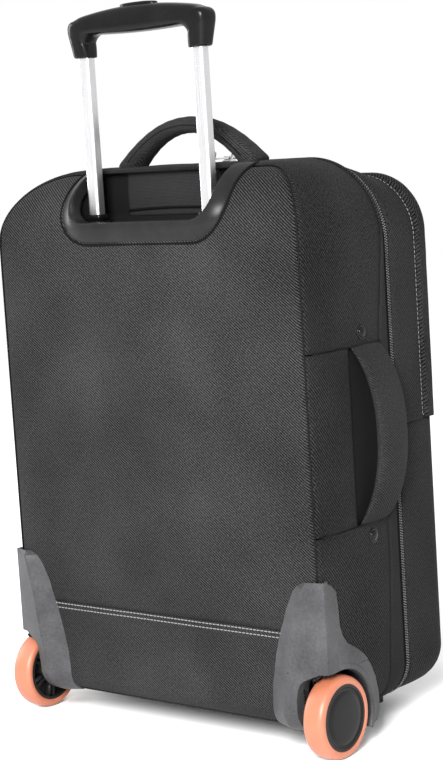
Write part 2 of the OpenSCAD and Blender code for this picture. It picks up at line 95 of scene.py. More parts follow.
# ---------------------------------------------------------------- meshes
def new_mesh(name, verts, faces, uvs=None, smooth=True):
    """An object from metre vertices; uvs is one (u, v) pair in metres per vertex, kept as layer 'cloth'."""
    mesh = bpy.data.meshes.new(name)
    mesh.from_pydata([tuple(v) for v in verts], [], [tuple(f) for f in faces])
    if uvs is not None:
        layer = mesh.uv_layers.new(name="cloth")
        idx = np.empty(len(mesh.loops), int)
        mesh.loops.foreach_get("vertex_index", idx)
        layer.data.foreach_set("uv", np.asarray(uvs, float)[idx].ravel())
    mesh.polygons.foreach_set("use_smooth", [smooth] * len(mesh.polygons))
    mesh.update()
    obj = bpy.data.objects.new(name, mesh)
    bpy.context.scene.collection.objects.link(obj)
    return obj


def recalc(obj):
    """Normals outward on a closed mesh."""
    bm = bmesh.new()
    bm.from_mesh(obj.data)
    bmesh.ops.remove_doubles(bm, verts=bm.verts, dist=1e-6)
    bmesh.ops.recalc_face_normals(bm, faces=bm.faces)
    bm.to_mesh(obj.data)
    bm.free()
    return obj


def face_away(obj, inside):
    """Turns an open sheet's faces away from the point inside, given in millimetres."""
    centre = Vector(place(inside))
    total = sum((p.center - centre).normalized().dot(p.normal) * p.area for p in obj.data.polygons)
    if total < 0:
        obj.data.flip_normals()
    return obj


def grid_mesh(name, pts, uvs=None, keep=None, loop=False):
    """A sheet of quads through an n by m array of millimetre points. keep masks its quads."""
    n, m = pts.shape[:2]
    faces = []
    for i in range(n if loop else n - 1):
        k = (i + 1) % n
        for j in range(m - 1):
            if keep is None or keep[i, j]:
                faces.append((i * m + j, i * m + j + 1, k * m + j + 1, k * m + j))
    used = sorted({v for f in faces for v in f})
    renumber = {v: a for a, v in enumerate(used)}
    flat = place(pts).reshape(-1, 3)[used]
    uv = None if uvs is None else (np.asarray(uvs, float) * MM).reshape(-1, 2)[used]
    return new_mesh(name, flat, [[renumber[v] for v in f] for f in faces], uv)


def grid_uv(across, up):
    """Cloth coordinates of a sheet's crossings."""
    return np.array([[(a, b) for b in up] for a in across], float)


def sweep(name, path, section, closed=False, caps=True):
    """A tube through path (n, 3) whose ring i is section(i), an (m, 3) array round path[i]."""
    rings = np.array([section(i) for i in range(len(path))])
    n, m = rings.shape[:2]
    faces = []
    for i in range(n if closed else n - 1):
        k = (i + 1) % n
        for j in range(m):
            l = (j + 1) % m
            faces.append((i * m + j, i * m + l, k * m + l, k * m + j))
    if caps and not closed:
        faces.append(tuple(range(m)))
        faces.append(tuple((n - 1) * m + j for j in range(m)))
    return recalc(new_mesh(name, place(rings).reshape(-1, 3), faces))


def cord_mesh(name, path, radius, sides=6, closed=False):
    """A thin round tube along a millimetre path."""
    p = np.asarray(path, float)
    ahead, behind = np.roll(p, -1, 0), np.roll(p, 1, 0)
    if not closed:
        ahead[-1], behind[0] = p[-1], p[0]
    t = ahead - behind
    t /= np.linalg.norm(t, axis=1)[:, None] + 1e-12
    up = np.array([0.31, 0.52, 0.79])
    a = np.cross(t, up)
    a /= np.linalg.norm(a, axis=1)[:, None]
    b = np.cross(t, a)
    ang = np.linspace(0, 2 * math.pi, sides, endpoint=False)
    return sweep(
        name, p, lambda i: p[i] + radius * (np.cos(ang)[:, None] * a[i] + np.sin(ang)[:, None] * b[i]),
        closed)


def resample(path, pitch):
    """Points along a polyline at an even pitch, and the unit tangent at each."""
    p = np.asarray(path, float)
    d = np.r_[0, np.cumsum(np.linalg.norm(np.diff(p, axis=0), axis=1))]
    s = np.arange(pitch / 2, d[-1], pitch)
    pts = np.stack([np.interp(s, d, p[:, k]) for k in range(3)], 1)
    nxt = np.stack([np.interp(s + 0.3, d, p[:, k]) for k in range(3)], 1)
    prv = np.stack([np.interp(s - 0.3, d, p[:, k]) for k in range(3)], 1)
    t = nxt - prv
    return pts, t / (np.linalg.norm(t, axis=1)[:, None] + 1e-12), s


def beads(name, path, pitch, length, width, height, lift, outward):
    """Stitches or teeth: a rounded bar at each pitch of the path, lying on the surface whose outward
    directions are given at the path's points."""
    p = np.asarray(path, float)
    pts, t, s = resample(p, pitch)
    d = np.r_[0, np.cumsum(np.linalg.norm(np.diff(p, axis=0), axis=1))]
    o = np.stack([np.interp(s, d, np.asarray(outward, float)[:, k]) for k in range(3)], 1)
    o /= np.linalg.norm(o, axis=1)[:, None]
    side = np.cross(t, o)
    ring = [(-1, 0), (-0.7, 0.75), (0.7, 0.75), (1, 0)]
    verts, faces = [], []
    for q, a, b, c in zip(pts, t, side, o):
        base = len(verts)
        for e, h in ring:
            for w in (-1, 0, 1):
                rise = lift + h * (1.0 if w == 0 else 0.55) * height
                verts.append(q + a * e * length / 2 + b * w * width / 2 + c * rise)
        for i in range(3):
            for j in range(2):
                k = base + i * 3 + j
                faces.append((k, k + 1, k + 4, k + 3))
        faces.append(tuple(base + k for k in (0, 3, 6, 9, 11, 8, 5, 2)))
    obj = new_mesh(name, place(verts), faces)
    bm = bmesh.new()
    bm.from_mesh(obj.data)
    bmesh.ops.recalc_face_normals(bm, faces=bm.faces)
    bm.to_mesh(obj.data)
    bm.free()
    return obj


def round_axle(x, r, t):
    """The point at x whose distance from the wheels' axle is r, in the direction t from straight up."""
    return x, AXLE_V + r * math.sin(t), WHEEL_R + r * math.cos(t)


def revolve(name, profile, x_dir, n=72):
    """A wheel piece: profile is (x, radius) in millimetres turned about the axle on side x_dir."""
    turns = np.linspace(0, 2 * math.pi, n, endpoint=False)
    pts = np.array([[round_axle(x_dir * x, r, t) for x, r in profile] for t in turns])
    return recalc(grid_mesh(name, pts, loop=True))


def join(name, objs):
    """One object from several that share its material."""
    bm = bmesh.new()
    for o in objs:
        bm.from_mesh(o.data)
    mesh = bpy.data.meshes.new(name)
    bm.to_mesh(mesh)
    bm.free()
    for o in objs:
        bpy.data.objects.remove(o)
    obj = bpy.data.objects.new(name, mesh)
    bpy.context.scene.collection.objects.link(obj)
    return obj


def modify(obj, kind, **values):
    mod = obj.modifiers.new(kind.lower(), kind)
    for key, value in values.items():
        setattr(mod, key, value)
    return obj


def thick(obj, t, offset=-1.0):
    return modify(obj, "SOLIDIFY", thickness=t * MM, offset=offset, use_even_offset=False)


def bevel(obj, width, segments=2, angle=30):
    modify(obj, "BEVEL", width=width * MM, segments=segments, limit_method="ANGLE",
           angle_limit=math.radians(angle), harden_normals=False)
    return obj


def shade_by_angle(obj, angle):
    """Smooth shading with creases kept sharp."""
    mesh = obj.data
    mesh.polygons.foreach_set("use_smooth", [True] * len(mesh.polygons))
    bm = bmesh.new()
    bm.from_mesh(mesh)
    limit = math.radians(angle)
    sharp = [e.index for e in bm.edges if len(e.link_faces) == 2 and e.calc_face_angle(0) > limit]
    bm.free()
    flags = np.zeros(len(mesh.edges), bool)
    flags[sharp] = True
    attr = mesh.attributes.get("sharp_edge") or mesh.attributes.new("sharp_edge", "BOOLEAN", "EDGE")
    attr.data.foreach_set("value", flags)
    return obj


def ripple(x, y, seed=0.0, size=70.0):
    """Smooth, repeatable unevenness between about -1 and 1."""
    a = np.sin(2 * math.pi * (x / size + 0.31 * y / size) + seed)
    b = np.sin(2 * math.pi * (y / (size * 0.83) - 0.42 * x / size) + 1.7 * seed + 1.0)
    c = np.sin(2 * math.pi * (x + y) / (size * 0.47) + 2.3 * seed + 2.0)
    return 0.45 * a + 0.35 * b + 0.2 * c


# ---------------------------------------------------------------- materials
class Paint:
    """A small builder of one procedural material."""

    def __init__(self, name, roughness, **sockets):
        self.mat = bpy.data.materials.new(name)
        self.mat.use_nodes = True
        self.nt = self.mat.node_tree
        self.nt.nodes.clear()
        self.out = self.node("ShaderNodeOutputMaterial")
        self.bsdf = self.node("ShaderNodeBsdfPrincipled")
        self.link(self.bsdf.outputs[0], self.out.inputs[0])
        self.bsdf.inputs["Roughness"].default_value = roughness
        for key, value in sockets.items():
            self.bsdf.inputs[key.replace("_", " ")].default_value = value

    def node(self, kind, **props):
        n = self.nt.nodes.new(kind)
        for key, value in props.items():
            setattr(n, key, value)
        return n

    def link(self, a, b):
        self.nt.links.new(a, b)

    def cloth(self, scale=(1, 1, 1), turn=0.0):
        uv = self.node("ShaderNodeUVMap", uv_map="cloth")
        return self.mapped(uv.outputs[0], scale, turn)

    def solid(self, scale=(1, 1, 1)):
        at = self.node("ShaderNodeTexCoord")
        return self.mapped(at.outputs["Object"], scale, 0.0)

    def mapped(self, source, scale, turn):
        m = self.node("ShaderNodeMapping")
        m.inputs["Scale"].default_value = scale
        m.inputs["Rotation"].default_value = (0, 0, turn)
        self.link(source, m.inputs["Vector"])
        return m.outputs[0]

    def noise(self, where, scale, detail=3.0, rough=0.55):
        n = self.node("ShaderNodeTexNoise")
        n.inputs["Scale"].default_value = scale
        n.inputs["Detail"].default_value = detail
        n.inputs["Roughness"].default_value = rough
        self.link(where, n.inputs["Vector"])
        return n.outputs[0]

    def bands(self, where, period, direction="X", distortion=0.0):
        """Stripes across X or Y with the given period in metres."""
        w = self.node("ShaderNodeTexWave", wave_type="BANDS", bands_direction=direction)
        w.inputs["Scale"].default_value = 0.314159 / period
        w.inputs["Distortion"].default_value = distortion
        w.inputs["Detail"].default_value = 2.0
        w.inputs["Detail Scale"].default_value = 1.5
        self.link(where, w.inputs["Vector"])
        return w.outputs["Fac"]

    def math(self, op, a, b=0.5, c=None):
        n = self.node("ShaderNodeMath", operation=op)
        for socket, value in zip(n.inputs, (a, b, c)):
            if value is None:
                continue
            if isinstance(value, (int, float)):
                socket.default_value = value
            else:
                self.link(value, socket)
        return n.outputs[0]

    def blend(self, a, b, share):
        """A share of a and the rest of b."""
        return self.math("MULTIPLY_ADD", a, share, self.math("MULTIPLY", b, 1 - share))

    def ramp(self, fac, low, high, start=0.0, end=1.0):
        n = self.node("ShaderNodeValToRGB")
        e = n.color_ramp.elements
        e[0].position, e[0].color = start, (*low, 1)
        e[1].position, e[1].color = end, (*high, 1)
        self.link(fac, n.inputs[0])
        return n.outputs[0]

    def span(self, fac, low, high):
        n = self.node("ShaderNodeMapRange")
        n.inputs["To Min"].default_value = low
        n.inputs["To Max"].default_value = high
        self.link(fac, n.inputs["Value"])
        return n.outputs[0]

    def colour(self, socket):
        self.link(socket, self.bsdf.inputs["Base Color"])

    def rough(self, socket):
        self.link(socket, self.bsdf.inputs["Roughness"])

    def bump(self, height, distance, strength=1.0):
        b = self.node("ShaderNodeBump")
        b.inputs["Distance"].default_value = distance
        b.inputs["Strength"].default_value = strength
        self.link(height, b.inputs["Height"])
        self.link(b.outputs[0], self.bsdf.inputs["Normal"])


def woven(name, dark, light, period, twill=True, speck=0.35, sheen=0.01, depth=0.00022,
          start=0.30, end=0.80):
    """Cloth with crossing threads: a diagonal twill or a plain weave."""
    p = Paint(name, 0.82, Sheen_Weight=sheen, Sheen_Roughness=0.45, Specular_IOR_Level=0.05)
    at = p.cloth(turn=math.radians(52) if twill else 0.0)
    warp = p.bands(at, period, "X", 0.35)
    weft = p.bands(at, period * (0.62 if twill else 1.0), "Y", 0.35)
    threads = p.blend(p.math("MULTIPLY", weft, warp), warp, 0.7)
    fleck = p.noise(at, 1 / period, 2.0, 0.7)
    cloud = p.noise(p.solid(), 9.0, 3.0)
    mix = p.blend(fleck, threads, speck)
    mix = p.math("MULTIPLY_ADD", cloud, 0.22, p.math("MULTIPLY", mix, 0.86))
    p.colour(p.ramp(mix, dark, light, start, end))
    p.rough(p.span(fleck, 0.72, 0.92))
    p.bump(threads, depth, 0.8)
    return p.mat


def moulded(name, dark, light, rough=(0.38, 0.52), grain=900.0, depth=0.00006, coat=0.0):
    """Moulded plastic: fine spark grain, cloudy tone and rubbed patches."""
    p = Paint(name, 0.45, Coat_Weight=coat, Coat_Roughness=0.2, Specular_IOR_Level=0.12)
    at = p.solid()
    fine = p.noise(at, grain, 2.0, 0.6)
    cloud = p.noise(at, 28.0, 4.0)
    mix = p.blend(fine, cloud, 0.35)
    p.colour(p.ramp(mix, dark, light, 0.3, 0.7))
    p.rough(p.span(mix, *rough))
    p.bump(fine, depth, 0.7)
    return p.mat


def metal(name, colour, rough=(0.18, 0.34), brushed=True):
    """Bare or plated metal with a lengthwise brushed grain."""
    p = Paint(name, 0.25, Metallic=1.0)
    at = p.solid((1, 1, 0.02) if brushed else (1, 1, 1))
    lines = p.noise(at, 1800.0 if brushed else 260.0, 2.0)
    cloud = p.noise(p.solid(), 30.0)
    low = tuple(c * 0.86 for c in colour)
    p.colour(p.ramp(p.blend(cloud, lines, 0.3), low, colour, 0.3, 0.7))
    p.rough(p.span(lines, *rough))
    p.bump(lines, 0.00001, 0.4)
    return p.mat


def thread(name, dark, light):
    """Sewing thread: two twisted plies."""
    p = Paint(name, 0.6, Specular_IOR_Level=0.1)
    at = p.solid()
    ply = p.bands(at, 0.0006, "X", 1.0)
    p.colour(p.ramp(p.blend(ply, p.noise(at, 500.0), 0.6), dark, light))
    p.bump(ply, 0.0001, 0.6)
    return p.mat


def ribbed(name, dark, light, period=0.0011):
    """Zip tape and binding: ribs across."""
    p = Paint(name, 0.7, Specular_IOR_Level=0.06)
    at = p.cloth()
    ribs = p.bands(at, period, "X", 0.2)
    fleck = p.noise(at, 1400.0)
    p.colour(p.ramp(p.blend(fleck, ribs, 0.4), dark, light))
    p.rough(p.span(fleck, 0.6, 0.85))
    p.bump(ribs, 0.00018, 0.7)
    return p.mat


def tyre_rubber():
    """Coral polyurethane: warm where it is thin at the shoulder, cloudy in tone."""
    p = Paint("tyre_rubber", 0.42, Subsurface_Weight=0.12, Specular_IOR_Level=0.45)
    p.bsdf.inputs["Subsurface Radius"].default_value = (0.004, 0.0015, 0.0008)
    at = p.solid()
    cloud = p.noise(at, 22.0, 4.0)
    fine = p.noise(at, 700.0, 2.0)
    mix = p.blend(fine, cloud, 0.2)
    p.colour(p.ramp(mix, (0.33, 0.105, 0.055), (0.40, 0.135, 0.075), 0.3, 0.7))
    p.rough(p.span(cloud, 0.34, 0.5))
    p.bump(fine, 0.00003, 0.5)
    return p.mat


def grey(level, blue=0.0):
    """A grey, with a little more blue where asked."""
    return level, level, level + blue


M = {
    "twill": woven("twill", grey(0.001), grey(0.062, 0.001), 0.0022, speck=0.5, start=0.34, end=0.80),
    "side_cloth": woven("side_cloth", grey(0.001), grey(0.030, 0.001), 0.0024, speck=0.6,
                        start=0.36, end=0.68),
    "strap_cloth": woven("strap_cloth", grey(0.002), grey(0.040, 0.001), 0.0020, speck=0.6,
                         start=0.34, end=0.72),
    "guard_cloth": woven("guard_cloth", grey(0.002), grey(0.026, 0.001), 0.0018, speck=0.6),
    "pit_cloth": woven("pit_cloth", grey(0.008), grey(0.032, 0.001), 0.0014, False, 0.6),
    "lining": woven("lining", grey(0.030, 0.003), (0.060, 0.061, 0.065), 0.0010, False, 0.5),
    # Near-black cloth: painted shade on the pit's walls and floor, partly painted shade in the side handle's
    # slit, and its own colour on the pit's piping.
    "dark_cloth_and_painted_shade": woven("dark_cloth_and_painted_shade", grey(0.003), grey(0.012, 0.001), 0.0016, False, 0.5),
    "tape": ribbed("zip_tape_cloth", grey(0.001), grey(0.008)),
    "binding": ribbed("binding_cloth", grey(0.001), grey(0.009), 0.0016),
    # The coil's mid grey, far lighter than the black tape, is a painted highlight standing in for the glints
    # on black glossy teeth.
    "coil": moulded("zip_coil_nylon_painted_highlight", grey(0.060), grey(0.150, 0.002), (0.2, 0.35), 500.0),
    "light_thread": thread("light_thread", grey(0.14), grey(0.30)),
    "dark_thread": thread("dark_thread", grey(0.001), grey(0.006)),
    "satin": moulded("satin_plastic", grey(0.002), grey(0.006), (0.18, 0.30)),
    "rim": moulded("rim_plastic", grey(0.006), grey(0.014, 0.001), (0.26, 0.38)),
    "guard": moulded("guard_plastic", grey(0.024, 0.001), grey(0.064, 0.003), (0.36, 0.50), 420.0, 0.00012),
    "hub": moulded("hub_plastic", grey(0.006), grey(0.016, 0.001), (0.3, 0.45)),
    "cap": moulded("cap_plastic", grey(0.004), grey(0.009), (0.30, 0.42)),
    "rivet": moulded("rivet_enamel", grey(0.002), grey(0.005), (0.10, 0.20), coat=0.12),
    "board": moulded("board_sheet", grey(0.010), grey(0.025), (0.45, 0.6)),
    "foot": moulded("foot_rubber", grey(0.010), grey(0.024, 0.001), (0.55, 0.7)),
    "tyre": tyre_rubber(),
    "tube": metal("anodised_tube", grey(0.68, 0.01), (0.30, 0.44)),
    "steel": metal("plated_steel", grey(0.62, -0.01), (0.22, 0.38), False),
    "nickel": metal("nickel_plate", grey(0.70, 0.01), (0.10, 0.24), False),
}


def sheet(obj, t=WALL, inside=INSIDE_REAR):
    """Turns an open sheet to face away from the case's inside, and gives it its thickness."""
    return thick(face_away(obj, inside), t)


def paint(obj, mat):
    obj.data.materials.clear()
    obj.data.materials.append(M[mat])
    return obj


def piece(obj, body, mat, slot, *replaced):
    """Paints a finished piece and fixes it to its body. Its slot is not used."""
    paint(obj, mat)
    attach(obj, body)
    if replaced:
        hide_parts(*replaced)
    return obj


# ---------------------------------------------------------------- the case's outline
def roll_depth(z):
    """Depth of the back face at height z: flat, then rolling forward at the top and the bottom."""
    z = np.asarray(z, float)
    up = np.clip(z - (TOP - ROLL_R), 0, ROLL_R)
    down = np.clip(BASE + BACK_BOTTOM_R - z, 0, BACK_BOTTOM_R)
    return ROLL_R - np.sqrt(ROLL_R ** 2 - up ** 2) + BACK_BOTTOM_R - np.sqrt(BACK_BOTTOM_R ** 2 - down ** 2)


def arc(cx, cz, r, a0, a1, step=4.0):
    a = np.radians(np.linspace(a0, a1, max(2, int(abs(a1 - a0) / step) + 1)))
    return [(cx + r * math.cos(t), cz + r * math.sin(t), math.cos(t), math.sin(t)) for t in a]


def line(x0, z0, x1, z1, nx, nz, step=7.0):
    n = max(2, int(math.hypot(x1 - x0, z1 - z0) / step) + 1)
    return [(x0 + (x1 - x0) * t, z0 + (z1 - z0) * t, nx, nz) for t in np.linspace(0, 1, n)]


def moved(x, z, nx, nz, v):
    """Where a point of the back's outline lies on the outline at depth v, which is lower in front."""
    v = np.asarray(v, float)
    r = np.interp(v, [0, 60, 135, 163, 177, 205], [TOP_R, TOP_R, 80, 66, 60, FACE_R])
    t = np.interp(v, [0, 110, 135, 163, 177, 205], [TOP, TOP, TOP - 2, TOP - 14, FRONT_TOP, FRONT_TOP])
    if z < SIDE_Z:
        return x + 0 * v, z + 0 * v
    if nz == 0:
        return x + 0 * v, SIDE_Z + (z - SIDE_Z) * (t - r - SIDE_Z) / (TOP - TOP_R - SIDE_Z)
    if abs(nx) < 1e-9:
        return x * (HALF_W - r) / (HALF_W - TOP_R), t
    return math.copysign(1, x) * (HALF_W - r) + r * nx, t - r + r * nz


def clean(rows):
    """Rows x, z, outward x, outward z, and arc length, with doubled points dropped."""
    out = [rows[0]]
    for r in rows[1:]:
        if math.hypot(r[0] - out[-1][0], r[1] - out[-1][1]) > 0.5:
            out.append(r)
    a = np.array(out)
    s = np.r_[0, np.cumsum(np.hypot(np.diff(a[:, 0]), np.diff(a[:, 1])))]
    return np.c_[a, s]


def over_top(z0):
    """The outline from height z0 on the right side, over the top, to z0 on the left."""
    cx, cz = HALF_W - TOP_R, TOP - TOP_R
    return clean(
        line(HALF_W, z0, HALF_W, cz, 1, 0) + arc(cx, cz, TOP_R, 0, 90) + line(cx, TOP, -cx, TOP, 0, 1)
        + arc(-cx, cz, TOP_R, 90, 180) + line(-HALF_W, cz, -HALF_W, z0, -1, 0))


def under_base(z0, z1=None):
    """The outline from z0 on the left side, under the base, to z1 or z0 on the right."""
    z1 = z0 if z1 is None else z1
    cx, cz = HALF_W - BOTTOM_R, BASE + BOTTOM_R
    well = math.degrees(math.asin((BOTTOM_R - WELL - 0.15) / BOTTOM_R))
    return clean(
        line(-HALF_W, z0, -HALF_W, cz, -1, 0) + arc(-cx, cz, BOTTOM_R, 180, 269.1 - well)
        + arc(-cx, cz, BOTTOM_R, 270 - well, 270) + line(-cx, BASE, cx, BASE, 0, -1)
        + arc(cx, cz, BOTTOM_R, 270, 270 + well) + arc(cx, cz, BOTTOM_R, 270.9 + well, 360)
        + line(HALF_W, cz, HALF_W, z1, 1, 0))


def all_round():
    a, b = over_top(300), under_base(300)
    return clean([tuple(r[:4]) for r in a] + [tuple(r[:4]) for r in b[:-1]])


def along(rows, v, inset):
    """The outline's line at depth v and a given inset, with its outward directions."""
    path, out = [], []
    for x, z, nx, nz, _ in rows:
        mx, mz = moved(x, z, nx, nz, v)
        path.append((float(mx) - inset * nx, v, float(mz) - inset * nz))
        out.append((nx, 0, nz))
    return np.array(path), np.array(out)


def inset_of(x, z, top=TOP, top_r=TOP_R):
    """How far a point lies inside the outline, in millimetres."""
    x, z = np.abs(np.asarray(x, float)), np.asarray(z, float)
    r = np.where(z > 290, top_r, BOTTOM_R)
    mid, half_h = (top + BASE) / 2, (top - BASE) / 2
    qx, qz = x - HALF_W + r, np.abs(z - mid) - half_h + r
    out = np.hypot(np.maximum(qx, 0), np.maximum(qz, 0)) + np.minimum(np.maximum(qx, qz), 0) - r
    return -out


def band(name, rows, stations, loop=False, cut=None, uv0=0.0):
    """A strip round the outline. stations(row) gives its (inset, depth) points at one outline row."""
    pts, uvs = [], []
    for x, z, nx, nz, s in rows:
        st = np.asarray(stations(x, z, nx, nz, s), float)
        mx, mz = moved(x, z, nx, nz, st[:, 1])
        p = np.stack([mx - st[:, 0] * nx, st[:, 1], mz - st[:, 0] * nz], 1)
        w = np.r_[0, np.cumsum(np.linalg.norm(np.diff(p, axis=0), axis=1))]
        pts.append(p)
        uvs.append(np.stack([np.full(len(w), s + uv0), st[0, 1] + w], 1))
    pts, uvs = np.array(pts), np.array(uvs)
    keep = None
    if cut is not None:
        keep = cut(pts)
    return grid_mesh(name, pts, uvs, keep, loop)


WELL = 24.5
WELL_R = 46.0


def wheel_cut(pts):
    """Drops the quads inside the wheels' room and pulls the cut edge out to its rim."""
    x, v, z = pts[..., 0], pts[..., 1], pts[..., 2]
    gap = np.hypot(v - AXLE_V, z - WHEEL_R)
    inside = (np.abs(x) > HALF_W - WELL) & (gap < WELL_R)
    deep = inside & (gap < WELL_R - 7.5)
    ahead, ahead_deep = np.roll(inside, -1, 0), np.roll(deep, -1, 0)
    drop = inside[:, :-1] & inside[:, 1:] & ahead[:, :-1] & ahead[:, 1:]
    drop |= deep[:, :-1] | deep[:, 1:] | ahead_deep[:, :-1] | ahead_deep[:, 1:]
    k = np.where(inside & ~deep, WELL_R / np.maximum(gap, 1e-6), 1.0)
    pts[..., 1] = AXLE_V + (v - AXLE_V) * k
    pts[..., 2] = WHEEL_R + (z - WHEEL_R) * k
    return ~drop


# ---------------------------------------------------------------- the rear half's cloth
def guard_v(z):
    """Depth of the seam where the fold that shields the main zip begins."""
    return np.interp(z, [60, 110, 167, 378, 407, 463, 500], [107, 112, 116, 116, 119, 126, 129.5])


def corner(a):
    """Inset and depth on the rounded upright back edge at angle a."""
    return EDGE_R - EDGE_R * math.sin(a), EDGE_R - EDGE_R * math.cos(a)


EDGE_A = math.radians(33)


def gusset_stations(v_end):
    def at(x, z, nx, nz, s):
        base = float(roll_depth(z - 3 * nz))
        end = float(v_end(z))
        st = [(corner(EDGE_A)[0] + 0.9, base + corner(EDGE_A)[1] + 0.5)]
        st += [(d, base + v) for d, v in (corner(a) for a in np.linspace(EDGE_A, math.pi / 2, 6))]
        start = base + EDGE_R
        for t in np.linspace(0, 1, 15)[1:-1]:
            v = start + (end - 1.2 - start) * t
            crown = 1.6 * math.sin(math.pi * t) ** 0.8
            st.append((-crown - 0.5 * float(ripple(x + z, v, 2.0, 90)), v))
        st += [(0.2, end - 1.2), (1.5, end)]
        return st
    return at


def back_crown(d, x, q, seed):
    """How far the padded back stands out, d millimetres inside its outline."""
    t = np.clip((d - corner(EDGE_A)[0]) / 60, 0, 1)
    t = np.sqrt(t * (2 - t))
    return t * (1.8 + 0.5 * ripple(x, q, seed, 120))


def back_sheet(name, q0, q1, rows=70, cols=92, hole=False, seed=0.0):
    """Part of the back panel between two lengths up its profile."""
    half = HALF_W - corner(EDGE_A)[0]
    flat = TOP - ROLL_R
    lips = [side * (HALF_W - WELL + near) for side in (-1, 1) for near in (-0.15, 0.1)]
    xs = np.unique(np.r_[np.linspace(-half, half, cols), lips])
    if hole:
        edge = PIT_HALF + 2
        outer = np.linspace(edge, half, 22)
        xs = np.unique(np.r_[-outer, np.linspace(-edge, edge, 44), outer, lips])
    inner = corner(EDGE_A)[0]
    pts, uvs = [], []
    for x in xs:
        reach = max(abs(x) - (HALF_W - TOP_R), 0)
        z_edge = TOP - TOP_R + math.sqrt(max((TOP_R - inner) ** 2 - reach ** 2, 0))
        low = max(abs(x) - (HALF_W - BOTTOM_R), 0)
        z_low = BASE + BOTTOM_R - math.sqrt(max((BOTTOM_R - inner) ** 2 - low ** 2, 0))
        top_q = z_edge if z_edge < flat else flat + ROLL_R * math.asin(min((z_edge - flat) / ROLL_R, 1))
        qs = np.linspace(max(q0, z_low), min(q1, top_q), rows)
        z = np.where(qs < flat, qs, flat + ROLL_R * np.sin(np.clip((qs - flat) / ROLL_R, 0, None)))
        slope = np.cos(np.clip((qs - flat) / ROLL_R, 0, None))
        d = np.clip(inset_of(x, z), inner, None)
        drop = np.where(d < EDGE_R, EDGE_R - np.sqrt(np.clip(EDGE_R ** 2 - (EDGE_R - d) ** 2, 0, None)), 0)
        crown = back_crown(d, x + 0 * z, qs, seed) - 0.9 * np.exp(-((d - inner) / 0.8) ** 2)
        v = roll_depth(z) + (drop - crown) * slope
        z = z + crown * np.sin(np.clip((qs - flat) / ROLL_R, 0, None))
        pts.append(np.stack([np.full_like(z, x), v, z], 1))
        uvs.append(np.stack([np.full_like(z, x), qs], 1))
    pts, uvs = np.array(pts), np.array(uvs)
    keep = wheel_cut(pts)[: len(xs), :] if q0 < 100 else np.ones((len(xs), rows - 1), bool)
    if hole:
        mid = (pts[:-1, :-1] + pts[1:, 1:]) / 2
        pit = (np.abs(mid[..., 0]) < PIT_HALF + 2) & (mid[..., 2] > PIT_Z - 2) & (mid[..., 1] < PIT_V)
        keep[: len(xs) - 1][pit] = False
    return face_away(grid_mesh(name, pts, uvs, keep), INSIDE_REAR)


def rear_cloth():
    back = back_sheet("back_panel_cloth", SEAM_Z + 1.0, 700, rows=84, hole=True, seed=0.4)
    piece(thick(back, WALL), "case", "twill", "twill", "back_panel")
    kick = back_sheet("kick_panel_cloth", 0, SEAM_Z - 0.2, rows=28, seed=1.9)
    piece(thick(kick, WALL), "case", "twill", "twill", "kick_panel")
    reach = over_top(HANDLE_Z1)[-1, 4]
    slit_v = 66.0
    right = clean(line(HALF_W, HANDLE_Z0, HALF_W, HANDLE_Z1 - 0.8, 1, 0))
    left = clean(line(-HALF_W, HANDLE_Z1 - 0.8, -HALF_W, HANDLE_LOW + 0.8, -1, 0))
    low = under_base(HANDLE_LOW - 0.8, HANDLE_Z0)
    for name, rows, end, start, cut, node in (
        ("top_gusset_cloth", over_top(HANDLE_Z1 + 0.8), guard_v, 0.0, None, "top_gusset"),
        ("right_side_cloth", right, guard_v, -300, None, "right_side_panel"),
        ("left_side_cloth", left, lambda z: slit_v, reach, None, "left_side_panel"),
        ("bottom_gusset_cloth", low, guard_v, reach + HANDLE_Z1 - HANDLE_LOW, wheel_cut, "bottom_gusset"),
    ):
        cloth = sheet(band(name, rows, gusset_stations(end), cut=cut, uv0=start))
        piece(cloth, "case", "side_cloth", "smooth_fabric", node)
    zip_guard()
    seam_lines()


def zip_guard():
    """The fold of cloth along the main zip, from its seam to the coil."""
    def at(x, z, nx, nz, s):
        a, b = float(guard_v(z)), MAIN_ZIP - 4.4
        st = [(1.6, a), (0.3, a + 0.8)]
        for t in np.linspace(0, 1, 7)[1:-1]:
            st.append((-1.5 * math.sin(math.pi * t) ** 0.6, a + 0.8 + (b - a - 1.2) * t))
        return st + [(-0.2, b - 0.2), (0.9, b + 0.2), (2.4, b - 0.4)]
    fold = sheet(band("zip_fold", all_round(), at, loop=True), 1.2)
    piece(fold, "case", "guard_cloth", "smooth_fabric")


def seam_lines():
    """Sunk seams of the rear half, their dark stitches, and the kick panel's double stitch."""
    inset, depth = corner(EDGE_A)
    rows = over_top(170)
    edge = np.array([[x - inset * nx, roll_depth(z - 3 * nz) + depth - 0.2, z - inset * nz]
                     for x, z, nx, nz, _ in rows])
    out = np.array([[nx * 0.7, -0.7, nz * 0.7] for x, z, nx, nz, _ in rows])
    grooves = [cord_mesh("groove_edge", edge, 0.75)]
    for z in (HANDLE_LOW, HANDLE_Z1):
        grooves.append(cord_mesh("groove", [(-HALF_W - 0.1, v, z) for v in np.linspace(8, 118, 30)], 0.9))
    kick = [(x, -1.0, SEAM_Z + 0.4) for x in np.linspace(-HALF_W + 6, HALF_W - 6, 60)]
    grooves.append(cord_mesh("groove", kick, 1.0))
    piece(join("seam_grooves", grooves), "case", "dark_thread", "zip_tape")
    marks = beads("marks_edge", edge, 3.4, 1.7, 1.1, 0.4, 0.5, out)
    piece(join("seam_marks", [marks]), "case", "dark_thread", "zip_tape")
    xs = np.linspace(-150, 150, 60)
    stitches = []
    for z in (SEAM_Z - 2.2, SEAM_Z - 6.6):
        path = np.stack([xs, -back_crown(HALF_W - np.abs(xs), xs, z, 1.9), np.full(60, z)], 1)
        stitches.append(beads("double_stitch", path, 4.4, 3.4, 1.0, 0.5, 0.1, [(0, -1, 0)] * 60))
    piece(join("kick_stitches", stitches), "case", "light_thread", "twill")


